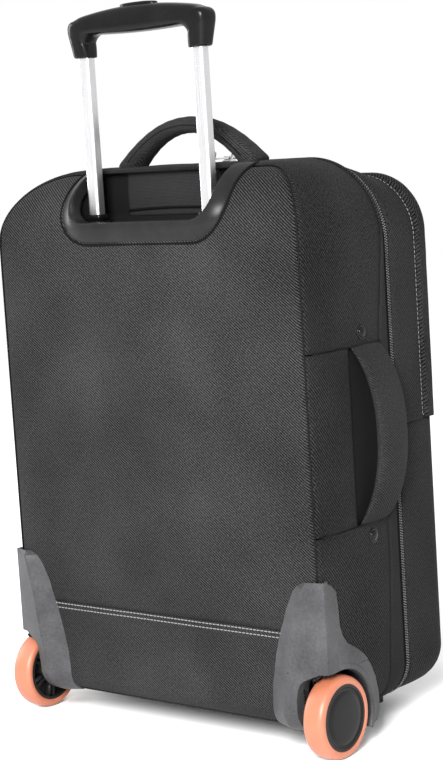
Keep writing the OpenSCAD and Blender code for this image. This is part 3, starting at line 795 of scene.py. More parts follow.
# ---------------------------------------------------------------- the pit, its rim, and the tubes' collars
def pit():
    """The lined pit: floor, front wall with a folded edge, and side walls, as one soft sheet."""
    floor = PIT_Z + 0.6
    prof = []
    for t in np.linspace(0, 1, 8):
        prof.append((8 + (PIT_V - 16) * t, floor + 0.6 * math.sin(math.pi * t)))
    for a in np.linspace(0, 90, 6):
        prof.append((PIT_V - 8 + 8 * math.sin(math.radians(a)), floor + 8 - 8 * math.cos(math.radians(a))))
    for z in np.linspace(floor + 10, TOP - 1.6, 12):
        prof.append((PIT_V - 0.8 * math.sin((z - floor) / 14.0) ** 2, z))
    prof.append((PIT_V + 2.0, TOP + 0.2))
    prof = np.array(prof)
    w = np.r_[0, np.cumsum(np.hypot(np.diff(prof[:, 0]), np.diff(prof[:, 1])))]
    xs = np.linspace(-PIT_HALF, PIT_HALF, 60)
    pts = np.array([[(x, v + 0.4 * ripple(x, k, 3.0, 60) * (v > 50), z) for (v, z), k in zip(prof, w)]
                    for x in xs])
    walls = [grid_mesh("pit_back", pts, grid_uv(xs, w))]
    vs = np.linspace(4, PIT_V + 1, 14)
    zs = np.linspace(floor - 1, TOP, 16)
    roof = TOP - ROLL_R + np.sqrt(np.maximum(ROLL_R ** 2 - (ROLL_R - vs) ** 2, 0)) - 0.4
    for side in (-1, 1):
        wall = np.array([[(side * PIT_HALF, v, min(z, TOP - 1.0, top)) for z in zs]
                         for v, top in zip(vs, roof)])
        walls.append(grid_mesh("pit_side", wall, grid_uv(vs, zs)))
    # The pit's floor, side walls and the front wall beside the tubes are near-black as painted shade of the
    # pit; only the grey panel between the tubes shows the lining's own colour.
    lining = join("pit_lining", walls)
    face_away(lining, (0, 100, 400))
    piece(thick(lining, 1.2, 0.0), "case", "dark_cloth_and_painted_shade", "lining", "recess_lining")
    panel = prof[(prof[:, 1] > floor + 4)]
    left, right = -58, 60
    xs = np.linspace(left, right, 40)
    pts = np.array([[(x, v - 1.6 + 0.7 * math.exp(-min(x - left, right - x) / 4), z) for v, z in panel]
                    for x in xs])
    face = grid_mesh("pit_panel", pts, grid_uv(xs, panel[:, 1]))
    piece(thick(face, 1.0, 0.0), "case", "pit_cloth", "lining")
    pipe = [(x, PIT_V - 3.4, PIT_Z + 12 + 1.2 * math.cos(x / 30)) for x in np.linspace(-57, 59, 50)]
    piece(cord_mesh("pit_piping", pipe, 1.3, 8), "case", "dark_cloth_and_painted_shade", "lining")


def rim_path(half, z_low, radius, v_end):
    """U-shaped line on the rolled back edge: points x, z, and direction toward the U's outside."""
    rows = []
    z_top = TOP - ROLL_R + math.sqrt(ROLL_R ** 2 - (ROLL_R - v_end) ** 2)
    for q in np.linspace(1, 0, 16):
        rows.append((-half, z_low + radius + (z_top - z_low - radius) * q, -1, 0))
    for a in np.linspace(180, 270, 16)[1:]:
        nx, nz = math.cos(math.radians(a)), math.sin(math.radians(a))
        rows.append((-half + radius + radius * nx, z_low + radius + radius * nz, nx, nz))
    arm = list(rows)
    for q in np.linspace(0, 1, 26)[1:-1]:
        rows.append((-half + radius + (2 * half - 2 * radius) * q, z_low, 0, -1))
    rows += [(-x, z, -nx, nz) for x, z, nx, nz in arm[::-1]]
    return np.array(rows)


def rim():
    """The moulded bezel round the pit: from the cloth it rises to a proud lip, then turns down inside."""
    outer = rim_path(RIM_HALF, RIM_LOW, 38.0, 58.0)
    inner = rim_path(88.3, 503.0, 22.0, 58.0)
    across = [
        (0.0, -0.4), (0.015, 1.2), (0.08, 2.4), (0.25, 4.6), (0.5, 7.2), (0.75, 9.2), (0.9, 10.0),
        (0.975, 10.1), (1.0, 9.4), (1.005, 6.0), (1.0, -2.0), (1.0, -8.0)]
    pts = []
    for o, i in zip(outer, inner):
        ring = []
        for t, h in across:
            x, z = o[0] + (i[0] - o[0]) * t, o[1] + (i[1] - o[1]) * t
            v = float(roll_depth(z))
            up = min(max((z - TOP + ROLL_R) / ROLL_R, 0), 1)
            ring.append((x, v - h * (1 - 0.25 * up * up), min(z + 0.35 * h * up * up, TOP + 1.5)))
        pts.append(ring)
    obj = grid_mesh("rim", np.array(pts))
    face_away(obj, (0, 200, 300))
    modify(obj, "SUBSURF", levels=1, render_levels=1)
    piece(thick(obj, 1.6), "case", "rim", "rim_plastic", "handle_rim")
    welt = []
    for x, z, nx, nz in outer:
        up = min(max((z - TOP + ROLL_R) / ROLL_R, 0), 1)
        x, z = x + nx * 1.4, z + nz * 1.4
        welt.append((x, float(roll_depth(z)) - 0.6 * math.sqrt(1 - up * up), z + 0.6 * up))
    piece(cord_mesh("rim_welt", welt, 1.8, 10), "case", "binding", "zip_tape")


# ---------------------------------------------------------------- trolley handle
def superellipse(n, power=2.6):
    a = np.linspace(0, 2 * math.pi, n, endpoint=False)
    c, s = np.cos(a), np.sin(a)
    return np.sign(c) * np.abs(c) ** (2 / power), np.sign(s) * np.abs(s) ** (2 / power)


def grip():
    """One moulding: two legs and an arched beam, its section changing from leg to beam."""
    half_top, half_low = 87.0, 82.0
    leg = 20.0
    outer, inner, depth = [], [], []
    for q in np.linspace(0, 1, 9):
        z = GRIP_Z + q * 26
        outer.append((-(half_low + (half_top - half_low) * q), z))
        inner.append((-(half_low - leg + 1.0 * q ** 2), GRIP_Z + q * 11))
        depth.append(19 + 5 * q)
    for q in np.linspace(0, 1, 9)[1:]:
        a = math.radians(180 - 90 * q)
        outer.append((-(half_top - 9) + 9 * math.cos(a), GRIP_Z + 29 + 8 * math.sin(a)))
        b = math.radians(180 - 90 * q)
        inner.append((-half_low + leg + 10 + 11 * math.cos(b) - 1.0, GRIP_Z + 11 + 10.5 * math.sin(b)))
        depth.append(24 + 3.5 * math.sin(math.pi / 2 * q))
    for q in np.linspace(0, 1, 12)[1:]:
        x0, x1 = outer[16][0], inner[16][0]
        xo, xi = x0 * (1 - q), x1 * (1 - q)
        top = GRIP_TOP - 9.0 * (xo / half_top) ** 2
        outer.append((xo, min(top, GRIP_TOP)))
        inner.append((xi, GRIP_Z + 21.5 - 1.5 * math.sin(math.pi / 2 * q)))
        depth.append(27.5 - 2.0 * q)
    o, i, d = np.array(outer), np.array(inner), np.array(depth)
    o = np.r_[o, o[:-1][::-1] * (-1, 1)]
    i = np.r_[i, i[:-1][::-1] * (-1, 1)]
    d = np.r_[d, d[:-1][::-1]]
    ca, sa = superellipse(28, 3.2)
    mid = (o + i) / 2

    def section(k):
        arm = (o[k] - i[k]) / 2
        return np.stack([mid[k, 0] + arm[0] * ca, TUBE_V + 0.5 * d[k] * sa, mid[k, 1] + arm[1] * ca], 1)
    obj = sweep("grip", np.c_[mid[:, 0], np.full(len(mid), TUBE_V), mid[:, 1]], section)
    modify(obj, "SUBSURF", levels=1, render_levels=2)
    piece(obj, "handle", "satin", "rim_plastic", "grip_body", "grip_cover")
    ca, sa = superellipse(32, 3.0)
    rings = []
    for w, rise in ((1.0, -4.0), (1.0, 0.6), (0.97, 1.5), (0.90, 2.0), (0.6, 2.3), (0.2, 2.4)):
        x, v = 22 * w * ca, TUBE_V + 6.5 * w * sa
        rings.append(np.stack([x, v, GRIP_TOP + rise - 0.0009 * x ** 2], 1))
    button = sweep("release_button", rings, lambda k: rings[k])
    piece(button, "button", "satin", "rim_plastic", "release_button")


def collar(name, body, size, z0, z1, replaced):
    """Rounded collars on both tubes, with a lead-in edge and a bore for the tube."""
    ca, sa = superellipse(32, 5.0)
    hw, hd = size
    parts = []
    bore = -2.6
    profile = ((bore, z0), (0, z0), (0, z1 - 1.2), (-0.4, z1 - 0.4), (-1.1, z1), (bore, z1), (bore, z0))
    for side in (-1, 1):
        rings = [np.stack([side * TUBE_X + (hw + out) * ca, TUBE_V + (hd + out) * sa, np.full(32, z)], 1)
                 for out, z in profile]
        parts.append(sweep("ring", rings, lambda k: rings[k], caps=False))
    piece(join(name, parts), body, "satin", "rim_plastic", replaced)


# ---------------------------------------------------------------- wheels and their guards
def fin_edge(z):
    """Inset of the guard's inner edge on the back panel."""
    return float(np.interp(z, [50, 70, 80, 90, 100, 110, 120, 130, 140, 150, 160, 167, 171],
                           [61, 60, 58, 56, 54, 51, 48, 44, 41, 36, 31, 24, 14]))


def fin_ridge(z):
    """Inset of the crease between the guard's two facets."""
    return float(np.interp(z, [28, 40, 60, 80, 120, 168], [44, 41, 37, 34, 27, 14]))


def fin_cut(z):
    """Inset of the cut that bares the wheel's inner side."""
    return float(np.interp(z, [28, 60, 70, 77, 81, 86], [27.5, 26.5, 24.5, 21, 12, 0]))


def facet(inset, ridge, rise):
    """Height of the outer facet: from the ridge down to the case's upright edge."""
    return 1.2 + (rise - 1.2) * (inset + 3.2) / (ridge + 3.2)


def flank_edge(z):
    """Depth of the guard's front edge on the case's side."""
    return np.interp(z, [20, 22, 35, 49, 65, 79, 92, 100, 106, 114, 126, 140, 158, 166, 168],
                     [70, 78, 81.5, 81, 77, 70, 58, 47, 36, 29, 24.5, 24, 22, 14, 9])


ARCH_R = 45.2


def guard_upper(w):
    """The wrap above the wheel: two facets on the back meet at a ridge, then come corner and flank."""
    rows = []
    for z in np.r_[np.linspace(84.5, 150, 22), np.linspace(153, 170.5, 9)]:
        f, r, vf = fin_edge(z), min(fin_ridge(z), fin_edge(z) - 3), max(float(flank_edge(z)), 6.5)
        lip = max(0.0, (z - 166) / 4.5)
        rise = (13.0 - 4.0 * max(0.0, (z - 100) / 70)) * (1 - 0.5 * lip)
        flare = max(0.0, (106 - z) / 24)
        half_way = r * 0.45 - 1.8
        rows.append([
            (w - f, 0.9, z), (w - f + 0.3, -1.6, z), (w - (f + r) / 2, -1.6 - (rise - 1.6) * 0.5, z),
            (w - r - 0.8, -rise + 0.3, z), (w - r + 0.8, -rise + 0.1, z),
            (w - half_way, -facet(half_way, r, rise), z), (w + 3.2, -1.2, z), (w + 4.5, -0.6, z),
            (w + 5.0, 1.2, z), (w + 4.2 + 0.5 * flare, 4.6 + (vf - 6.5) * 0.5, z),
            (w + 3.2 + 1.5 * flare, max(vf - 1.6, 5.0), z), (w + 1.6, vf - 0.5, z), (w - 0.6, vf, z)])
    return np.array(rows)


def tail_line():
    """Depth, height and outward direction down the back and round its bottom corner."""
    bend = BASE + BACK_BOTTOM_R
    rows = [(0.0, z, 1.0, 0.0) for z in np.linspace(86, bend, 16)]
    for t in np.radians(np.linspace(0, 80, 14)[1:]):
        nv, nz = math.cos(t), math.sin(t)
        rows.append((BACK_BOTTOM_R * (1 - nv), bend - BACK_BOTTOM_R * nz, nv, nz))
    return rows


def guard_lower(w):
    """The tail of the fin between the wheel and the back, thinning as it curls under the case."""
    rows = []
    for v, z, nv, nz in tail_line():
        f, g = fin_edge(z), fin_cut(z)
        r = min(max(fin_ridge(z), g + 0.6), f - 0.6)
        rise = 13.0 * (1 - 0.75 * nz)
        across = [
            (f, -1.6), (f - 0.3, 1.4), ((f + r) / 2, 1.4 + (rise - 1.4) * 0.5), (r + 0.8, rise - 0.3),
            (r - 0.8, rise - 0.1), ((r + g) / 2, facet((r + g) / 2, r, rise)), (g, facet(g, r, rise)),
            (g - 0.2, -2.0), (g - 0.2, -8.0)]
        rows.append([(w - i, v - h * nv, z - h * nz) for i, h in across])
    return np.array(rows)


def guard_arch(w):
    """The sweep over and in front of the wheel: a rounded lip, a hollow, and a rim on the cloth."""
    rows = []
    for a in np.linspace(-4, 116, 40):
        t = math.radians(a)
        edge = 51.0
        for r in np.linspace(51, 68, 70):
            _, v, z = round_axle(0, r, t)
            if z > 20 and v < float(flank_edge(z)):
                edge = r
        fade = min(1.0, max(0.0, (a + 4) / 14))
        lip = ((-0.2, -3.0), (-0.2, 4.4), (0.4, 5.6)) + tuple(
            (r, x * fade + 5 * (1 - fade)) for r, x in ((2.4, 6.2), (4.6, 5.7), (6.4, 4.2)))
        across = [(ARCH_R + r, x) for r, x in lip]
        across += [((ARCH_R + 6 + edge) / 2, 3.0 * fade + 5 * (1 - fade)), (edge - 0.8, 2.8), (edge, 1.4),
                   (edge + 0.3, -0.6)]
        rows.append([round_axle(w + x, r, t) for r, x in across])
    rows = np.array(rows)
    rows[..., 2] = np.maximum(rows[..., 2], 18.5)
    return rows


def guard(side):
    """One corner guard with the dark tunnel that it makes over its wheel."""
    name = "left" if side < 0 else "right"
    w = HALF_W
    objs = []
    for pts in (guard_upper(w), guard_lower(w), guard_arch(w)):
        pts[..., 0] *= side
        objs.append(face_away(grid_mesh("guard_part", pts), (side * 120, 90, 90)))
    shell = thick(join("wheel_guard_" + name, objs), 2.2)
    shade_by_angle(shell, 14)
    bevel(shell, 0.9, 3, 14)
    piece(shell, "case", "guard", "guard_plastic", "wheel_housing_" + name)
    turns = np.radians(np.linspace(-16, 104, 40))
    tunnel = np.array([[round_axle(side * (w + x), ARCH_R - 0.2, t) for x in (-22, -14, -4, 3)]
                       for t in turns])
    wall = np.array([[round_axle(side * (w - 22), ARCH_R * q, t) for q in (0.25, 0.5, 0.75, 1.0)]
                     for t in turns])
    wall[..., 2] = np.maximum(wall[..., 2], 28.0)
    well = join("wheel_well_" + name, [grid_mesh("tunnel", tunnel), grid_mesh("wall", wall)])
    piece(thick(well, 1.2, 0.0), "case", "hub", "guard_plastic")
    boss = [(w - 24, 0.01), (w - 24, 7.0), (WHEEL_X0 + 0.6, 7.0), (WHEEL_X0 + 0.6, 0.01)]
    piece(revolve("axle_boss_" + name, boss, side, 40), "case", "guard", "guard_plastic")


def wheel(side):
    name = "left" if side < 0 else "right"
    body = "wheel_" + name
    x0, x1 = WHEEL_X0, WHEEL_X1
    tread = [(x0 + 1.0, HUB_R), (x0 + 0.2, HUB_R + 1.0), (x0, HUB_R + 2.4)]
    for a in np.linspace(180, 90, 9):
        t = math.radians(a)
        tread.append((x0 + 6.8 + 6.8 * math.cos(t), WHEEL_R - 5.2 + 4.8 * math.sin(t)))
    tread += [(x0 + 9.5, WHEEL_R - 0.05), (x1 - 9.5, WHEEL_R - 0.05)]
    for a in np.linspace(90, 0, 9):
        t = math.radians(a)
        tread.append((x1 - 6.8 + 6.8 * math.cos(t), WHEEL_R - 5.2 + 4.8 * math.sin(t)))
    tread += [(x1, HUB_R + 2.4), (x1 - 0.2, HUB_R + 1.0), (x1 - 1.2, HUB_R), (x0 + 1.0, HUB_R)]
    piece(revolve("tyre_ring_" + name, tread, side, 112), body, "tyre", "tyre", "tyre_" + name)
    r = HUB_R - 2.2
    cap = [(x1 - 3.4, 0.01), (x1 - 3.4, r), (x1 - 1.6, r), (x1 - 0.9, r - 0.7), (x1 - 0.8, r - 2.0),
           (x1 - 1.3, r - 2.6), (x1 - 1.3, r - 3.4), (x1 - 0.7, r - 4.4), (x1 - 0.1, r - 9), (x1 + 0.2, 8),
           (x1 + 0.2, 0.01)]
    piece(revolve("hub_disc_" + name, cap, side, 80), body, "cap", "guard_plastic", "hub_cap_" + name)
    paint(nodes["wheel_core_" + name], "hub")
    spokes = []
    for k in range(6):
        t = math.radians(60 * k + 15)
        u = np.array([math.sin(t), math.cos(t)])
        n = np.array([u[1], -u[0]])
        pts = []
        for q, wide in ((13.5, 1.8), (20, 1.3), (28.6, 1.9)):
            ring = []
            for e, x in ((-1, 9.2), (-0.8, 2.2), (0.8, 2.2), (1, 9.2)):
                v, z = u * q + n * e * wide
                ring.append((side * (x0 + x), AXLE_V + v, WHEEL_R + z))
            pts.append(ring)
        spokes.append(recalc(sweep("spoke", np.array(pts)[:, 0], lambda i, a=np.array(pts): a[i])))
    piece(join("wheel_ribs_" + name, spokes), body, "hub", "hub_plastic")


# ---------------------------------------------------------------- handles, rivets, strip pocket
def grab_handle():
    """The padded handle on top: a slant-legged arch whose feet spread into the cloth."""
    v0 = 88.0
    n = 49
    t = np.linspace(-1, 1, n)
    x = 82.0 * t
    y = 43.5 * (1 - np.abs(t) ** 2.1) - 4.0
    lean = np.arctan2(np.gradient(y), np.gradient(x))
    mid = np.stack([x, np.full(n, v0), TOP + y], 1)
    ca, sa = superellipse(28, 2.4)

    def section(k):
        half = (8.2 + 3.4 * abs(t[k]) ** 3) * (1 + 0.03 * math.sin(k * 1.9))
        wide = 12.5 + 3.0 * abs(t[k]) ** 3
        return np.stack([x[k] - half * ca * math.sin(lean[k]), v0 + wide * sa,
                         TOP + y[k] + half * ca * math.cos(lean[k])], 1)
    obj = sweep("grab_handle_padded", mid, section)
    add_uv(obj)
    modify(obj, "SUBSURF", levels=1, render_levels=1)
    piece(obj, "case", "strap_cloth", "webbing", "grab_handle")
    edges = []
    for side in (-1, 1):
        path = [(x[k], v0 + side * (12.5 + 3.0 * abs(t[k]) ** 3), TOP + y[k]) for k in range(3, n - 3)]
        edges.append(cord_mesh("edge", path, 0.6))
    piece(join("grab_handle_seams", edges), "case", "dark_thread", "webbing")


def add_uv(obj):
    """A 'cloth' layer by boxes: each face takes the two axes that it faces least."""
    layer = obj.data.uv_layers.new(name="cloth")
    for p in obj.data.polygons:
        n = [abs(c) for c in p.normal]
        drop = n.index(max(n))
        axes = [a for a in (0, 1, 2) if a != drop]
        for li in p.loop_indices:
            co = obj.data.vertices[obj.data.loops[li].vertex_index].co
            layer.data[li].uv = (co[axes[0]], co[axes[1]])
    return obj


def side_handle():
    """The carry handle: a padded band that stands out from a slit, sewn in at two seams. The slit is
    near-black cloth whose black is partly its own and partly painted shade of the recess.
    """
    mid_z = (HANDLE_LOW + HANDLE_Z1) / 2
    half = (HANDLE_Z1 - HANDLE_LOW) / 2
    n = 41
    q = np.linspace(-1, 1, n)
    bow = (1 - np.abs(q) ** 2.3)
    rise = 21.0 * bow ** 0.9
    z = mid_z + q * (half + 0.5)
    lean = 12.0 * bow ** 0.8
    wide = 24.5 - 2.0 * bow
    thickness = 1.4 + 3.4 * np.clip(bow * 3, 0, 1)
    centre_v = 90.5 + lean
    ca, sa = superellipse(26, 3.4)
    slope = np.gradient(rise, z)

    def section(k):
        t = math.atan(slope[k])
        x = -(HALF_W + 0.2 + rise[k] + thickness[k] * ca * math.cos(t))
        curl = 2.6 * bow[k] * (np.abs(sa) ** 2)
        return np.stack([x + curl, centre_v[k] + wide[k] * sa, z[k] + thickness[k] * ca * math.sin(t)], 1)
    obj = sweep("side_handle_padded", np.c_[np.full(n, -HALF_W), centre_v, z], section)
    add_uv(obj)
    modify(obj, "SUBSURF", levels=1, render_levels=1)
    piece(obj, "case", "strap_cloth", "webbing", "side_handle")
    zs = np.linspace(HANDLE_LOW - 1, HANDLE_Z1 + 1, 24)
    vs = np.linspace(64.5, 118, 12)
    pts = np.array([[(-(HALF_W - 2.2 + 0.4 * math.sin(zz / 9.0)), v, zz) for v in vs] for zz in zs])
    # Near-black slit: partly the lining's own black, partly painted shade of the recess behind the band.
    slit = sheet(grid_mesh("side_handle_slit", pts, grid_uv(zs, vs)[..., ::-1]), 1.0)
    piece(slit, "case", "dark_cloth_and_painted_shade", "zip_tape", "side_handle_backing")


def rivets():
    """Domed black caps over a thin collar."""
    objs = []
    for v, z in ((86, HANDLE_Z1 + 12), (88, HANDLE_LOW - 13)):
        prof = [(0.0, 7.2), (0.9, 7.2), (1.3, 6.8), (1.4, 6.0), (1.1, 5.6), (1.3, 5.1)]
        prof += [(1.3 + 2.0 * math.sin(a), 5.1 * math.cos(a)) for a in np.linspace(0.05, 1.55, 9)]
        ang = np.linspace(0, 2 * math.pi, 36, endpoint=False)
        pts = np.array([[(-(HALF_W + 0.8 + h), v + r * math.sin(t), z + r * math.cos(t)) for h, r in prof]
                        for t in ang])
        objs.append(recalc(grid_mesh("rivet", pts, loop=True)))
    piece(join("rivet_caps", objs), "case", "rivet", "rivet_black", "handle_rivets")


def strip_pocket():
    """Open-topped pocket on the right side, its mouth bound and standing a little open."""
    z0, z1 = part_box("side_pocket")[0].z / MM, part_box("side_pocket")[1].z / MM
    zs = np.linspace(z0, z1, 26)
    vs = np.linspace(12, 124, 30)
    pts = []
    for z in zs:
        t = (z - z0) / (z1 - z0)
        row = []
        for v in vs:
            e = min(v - 12, 124 - v) / 14
            swell = (1 - math.exp(-max(e, 0) * 1.6)) * 8.6 * min(1, t * 1.45) ** 1.3
            row.append((HALF_W + 0.9 + swell + 0.25 * float(ripple(v, z, 5, 45)), v, z))
        pts.append(row)
    cloth = sheet(grid_mesh("strip_pocket_cloth", np.array(pts), grid_uv(zs, vs)[..., ::-1]), 1.0)
    piece(cloth, "case", "side_cloth", "smooth_fabric", "side_pocket")
    hem = [(p[0] - 0.4, p[1], p[2]) for p in np.array(pts)[-1]]
    piece(cord_mesh("strip_pocket_hem", hem, 1.5, 8), "case", "binding", "zip_tape")


# ---------------------------------------------------------------- zips
def tape(name, body, rows, v0, v1, inset, loop, *replaced):
    stations = [(inset + 0.5, v0), (inset, v0 + 0.4), (inset, (v0 + v1) / 2), (inset, v1 - 0.2)]
    obj = sheet(band(name, rows, lambda *row: stations, loop=loop), 0.8)
    piece(obj, body, "tape", "zip_tape", *replaced)


def coil(name, body, rows, v, inset, pitch=2.5, reach=2.3):
    """One row of teeth along the outline, each reaching over the zip's middle."""
    path, out = along(rows, v, inset)
    piece(beads(name, path, pitch, 1.35, reach, 1.6, 0.0, out), body, "coil", "zip_tape")


def main_zip():
    ring = all_round()
    tape("rear_tape", "case", ring, MAIN_ZIP - 4.4, MAIN_ZIP - 0.1, 1.0, True, "rear_zip_tape", "hinge_strip")
    tape("front_tape", "front_half", ring, MAIN_ZIP + 0.3, MAIN_ZIP + 6.2, 1.0, True)
    top = over_top(300)
    low = under_base(300)
    rows = np.r_[top[top[:, 0] < 180], low[low[:, 0] < 130][1:]]
    coil("rear_teeth", "case", rows, MAIN_ZIP - 1.0, -0.3)
    coil("front_teeth", "front_half", rows[1:], MAIN_ZIP + 1.6, -0.3)


def pocket_zip():
    rows = over_top(FLAP_Z + 6)
    tape("pocket_tape_rear", "front_half", rows, POCKET_ZIP - 7.0, POCKET_ZIP - 0.3, 0.5, False)
    tape("pocket_tape_front", "pocket_flap", rows, POCKET_ZIP + 0.3, POCKET_ZIP + 7.6, 0.5, False)
    coil("pocket_teeth_rear", "front_half", rows, POCKET_ZIP - 1.1, -0.5, 2.3, 1.6)
    coil("pocket_teeth_front", "pocket_flap", rows[1:], POCKET_ZIP + 1.1, -0.5, 2.3, 1.6)
    for end, v, body, lift in (("rear", -10.0, "front_half", 1.0), ("front", 10.0, "pocket_flap", 0.7)):
        path, out = along(rows, POCKET_ZIP + v, 0.0)
        stitches = beads("pocket_stitches_" + end, path, 4.6, 3.2, 0.9, 0.5, lift, out)
        piece(stitches, body, "light_thread", "smooth_fabric")


# ---------------------------------------------------------------- the front half's cloth
def front_depth(d):
    """Depth of the front face at a distance inside the outline: a quarter round, then flat."""
    d = np.asarray(d, float)
    return DEPTH - FRONT_R + np.sqrt(np.clip(FRONT_R ** 2 - np.clip(FRONT_R - d, 0, None) ** 2, 0, None))


FRONT_SEAM = 15.0


def round_edge(v0, start_inset=1.4):
    """Stations from depth v0 forward and round the front edge to the front panel's seam."""
    def at(x, z, nx, nz, s):
        st = [(start_inset, v0), (0.1, v0 + 0.9)]
        flat = DEPTH - FRONT_R
        for t in np.linspace(0, 1, 8)[1:]:
            v = v0 + 0.9 + (flat - v0 - 0.9) * t
            st.append((0.45 * float(ripple(s, v, 4.0, 80)) - 0.8 * math.sin(math.pi * t), v))
        end = math.acos(1 - FRONT_SEAM / FRONT_R)
        for a in np.linspace(0, end, 9)[1:]:
            st.append((FRONT_R - FRONT_R * math.cos(a), flat + FRONT_R * math.sin(a)))
        last = st[-1]
        return st + [(last[0] + 0.8, last[1] - 0.8)]
    return at


def front_sheet(name, z0, z1, rows, seed):
    xs = np.linspace(-(HALF_W - FRONT_SEAM), HALF_W - FRONT_SEAM, 80)
    pts, uvs = [], []
    for x in xs:
        reach = max(abs(x) - (HALF_W - FACE_R), 0)
        hi = FRONT_TOP - FACE_R + math.sqrt(max((FACE_R - FRONT_SEAM) ** 2 - reach ** 2, 0))
        low = max(abs(x) - (HALF_W - BOTTOM_R), 0)
        lo = BASE + BOTTOM_R - math.sqrt(max((BOTTOM_R - FRONT_SEAM) ** 2 - low ** 2, 0))
        z = np.linspace(max(lo, z0), min(hi, z1), rows)
        d = np.clip(inset_of(x, z, FRONT_TOP, FACE_R), FRONT_SEAM, None)
        puff = np.clip((d - FRONT_SEAM) / 70, 0, 1)
        puff = np.sqrt(puff * (2 - puff)) * 1.4 + 0.6 * ripple(x + 0 * z, z, seed, 130) * puff
        v = front_depth(d) + puff - 0.9 * np.exp(-((d - FRONT_SEAM) / 1.2) ** 2)
        pts.append(np.stack([np.full_like(z, x), v, z], 1))
        uvs.append(np.stack([np.full_like(z, x), z], 1))
    return face_away(grid_mesh(name, np.array(pts), np.array(uvs)), (0, 150, 280))


def front_band(name, rows, stations, start, body, node):
    cloth = sheet(band(name, rows, stations, uv0=start), WALL, INSIDE_FRONT)
    piece(cloth, body, "side_cloth", "smooth_fabric", node)


def front_cloth():
    def upper(x, z, nx, nz, s):
        v0, v1 = MAIN_ZIP + 5.6, POCKET_ZIP - 6.4
        st = [(2.2, v0), (0.4, v0 + 0.6)]
        for t in np.linspace(0, 1, 8)[1:-1]:
            st.append((-1.2 * math.sin(math.pi * t) ** 0.7, v0 + 0.6 + (v1 - v0 - 1.0) * t))
        return st + [(0.0, v1 - 0.6), (1.4, v1)]
    front_band("front_gusset_top", over_top(FLAP_Z + 2), upper, 400, "front_half", "front_gusset")
    front_band("lower_front_cloth", under_base(FLAP_Z + 1.6), round_edge(MAIN_ZIP + 5.6), 700, "front_half",
               "lower_front_gusset")
    face = front_sheet("lower_front_face", 0, FLAP_Z - 0.4, 44, 2.2)
    piece(thick(face, WALL), "front_half", "twill", "twill", "lower_front_panel")
    front_band("flap_gusset_cloth", over_top(FLAP_Z + 3.2), round_edge(POCKET_ZIP + 7.4), 400, "pocket_flap",
               "flap_gusset")
    face = front_sheet("flap_face", FLAP_Z + 3.2, 700, 44, 3.1)
    piece(thick(face, WALL), "pocket_flap", "twill", "twill", "flap_panel")
    turn = math.acos(1 - FRONT_SEAM / FRONT_R)
    piping_v = DEPTH - FRONT_R + FRONT_R * math.sin(turn) + 0.2
    for name, body, rows in (
        ("lower_piping", "front_half", under_base(FLAP_Z - 1)),
        ("flap_piping", "pocket_flap", over_top(FLAP_Z + 4)),
    ):
        path = along(rows, piping_v, FRONT_SEAM + 0.2)[0]
        piece(cord_mesh(name, path, 1.5, 8), body, "binding", "zip_tape")
    seam = [(x, DEPTH + 1.5, FLAP_Z - 5.0) for x in np.linspace(-(HALF_W - 26), HALF_W - 26, 40)]
    stitches = beads("flap_stitches", seam, 4.4, 3.3, 0.9, 0.5, 0.1, [(0, 1, 0)] * 40)
    piece(stitches, "front_half", "light_thread", "twill")


def draw_in(pts, top, top_r, least):
    """Moves the points beyond the outline's rounded corners to at least this far inside it."""
    x, z = pts[..., 0], pts[..., 2]
    r = np.where(z > 290, top_r, BOTTOM_R)
    cx = np.clip(x, r - HALF_W, HALF_W - r)
    cz = np.clip(z, BASE + BOTTOM_R, top - top_r)
    dx, dz = x - cx, z - cz
    k = np.minimum(1, (r - least) / np.maximum(np.hypot(dx, dz), 1e-6))
    pts[..., 0], pts[..., 2] = cx + dx * k, cz + dz * k


def linings():
    """What shows inside when the case is open: both linings and the padded sleeve."""
    for node, body, name, toward in (
        ("back_lining", "case", "back_lining_cloth", 1),
        ("front_divider", "front_half", "divider_cloth", -1),
    ):
        lo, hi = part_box(node)
        x0, x1 = (lo.x - MIDDLE_X) / MM, (hi.x - MIDDLE_X) / MM
        z0, z1 = lo.z / MM, hi.z / MM
        v0, v1 = (BACK_Y - hi.y) / MM, (BACK_Y - lo.y) / MM
        xs, zs = np.linspace(x0 + 1, x1 - 1, 60), np.linspace(z0 + 1, z1 - 1, 72)
        mid = (v0 + v1) / 2
        pts = np.array([[(x, mid + 0.8 * float(ripple(x, z, 6 + toward, 85)), z) for z in zs] for x in xs])
        top, top_r = (TOP, TOP_R) if body == "case" else (FRONT_TOP, FACE_R)
        draw_in(pts, top, top_r, 4.0)
        piece(thick(grid_mesh(name, pts, grid_uv(xs, zs)), 1.6, 0.0), body, "lining", "lining", node)
    sleeve()


def sleeve():
    """The padded laptop sleeve: a pouch with a soft front, bound along its mouth."""
    lo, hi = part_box("laptop_sleeve")
    x1 = (hi.x - MIDDLE_X) / MM
    z0, z1 = lo.z / MM, hi.z / MM
    v0, v1 = (BACK_Y - hi.y) / MM, (BACK_Y - lo.y) / MM
    xs, zs = np.linspace(-x1, x1, 56), np.linspace(z0, z1, 44)
    pts = []
    for x in xs:
        col = []
        for z in zs:
            e = max(min(x1 - abs(x), z - z0), 0.0)
            t = min(e / 18, 1)
            rise = math.sqrt(t * (2 - t))
            v = v1 - (v1 - v0 - 1.0) * rise + 0.5 * float(ripple(x, z, 8, 60)) * rise
            col.append((x, v, z))
        pts.append(col)
    pts = np.array(pts)
    draw_in(pts, FRONT_TOP, FACE_R, 6.0)
    cloth = grid_mesh("sleeve_padded", pts, grid_uv(xs, zs))
    piece(thick(cloth, 3.4, 1.0), "front_half", "lining", "lining", "laptop_sleeve")
    mouth = [(x, v, z1 + 0.5) for x, v, z in pts[:, -1]]
    piece(cord_mesh("sleeve_binding", mouth, 2.2, 8), "front_half", "binding", "zip_tape")


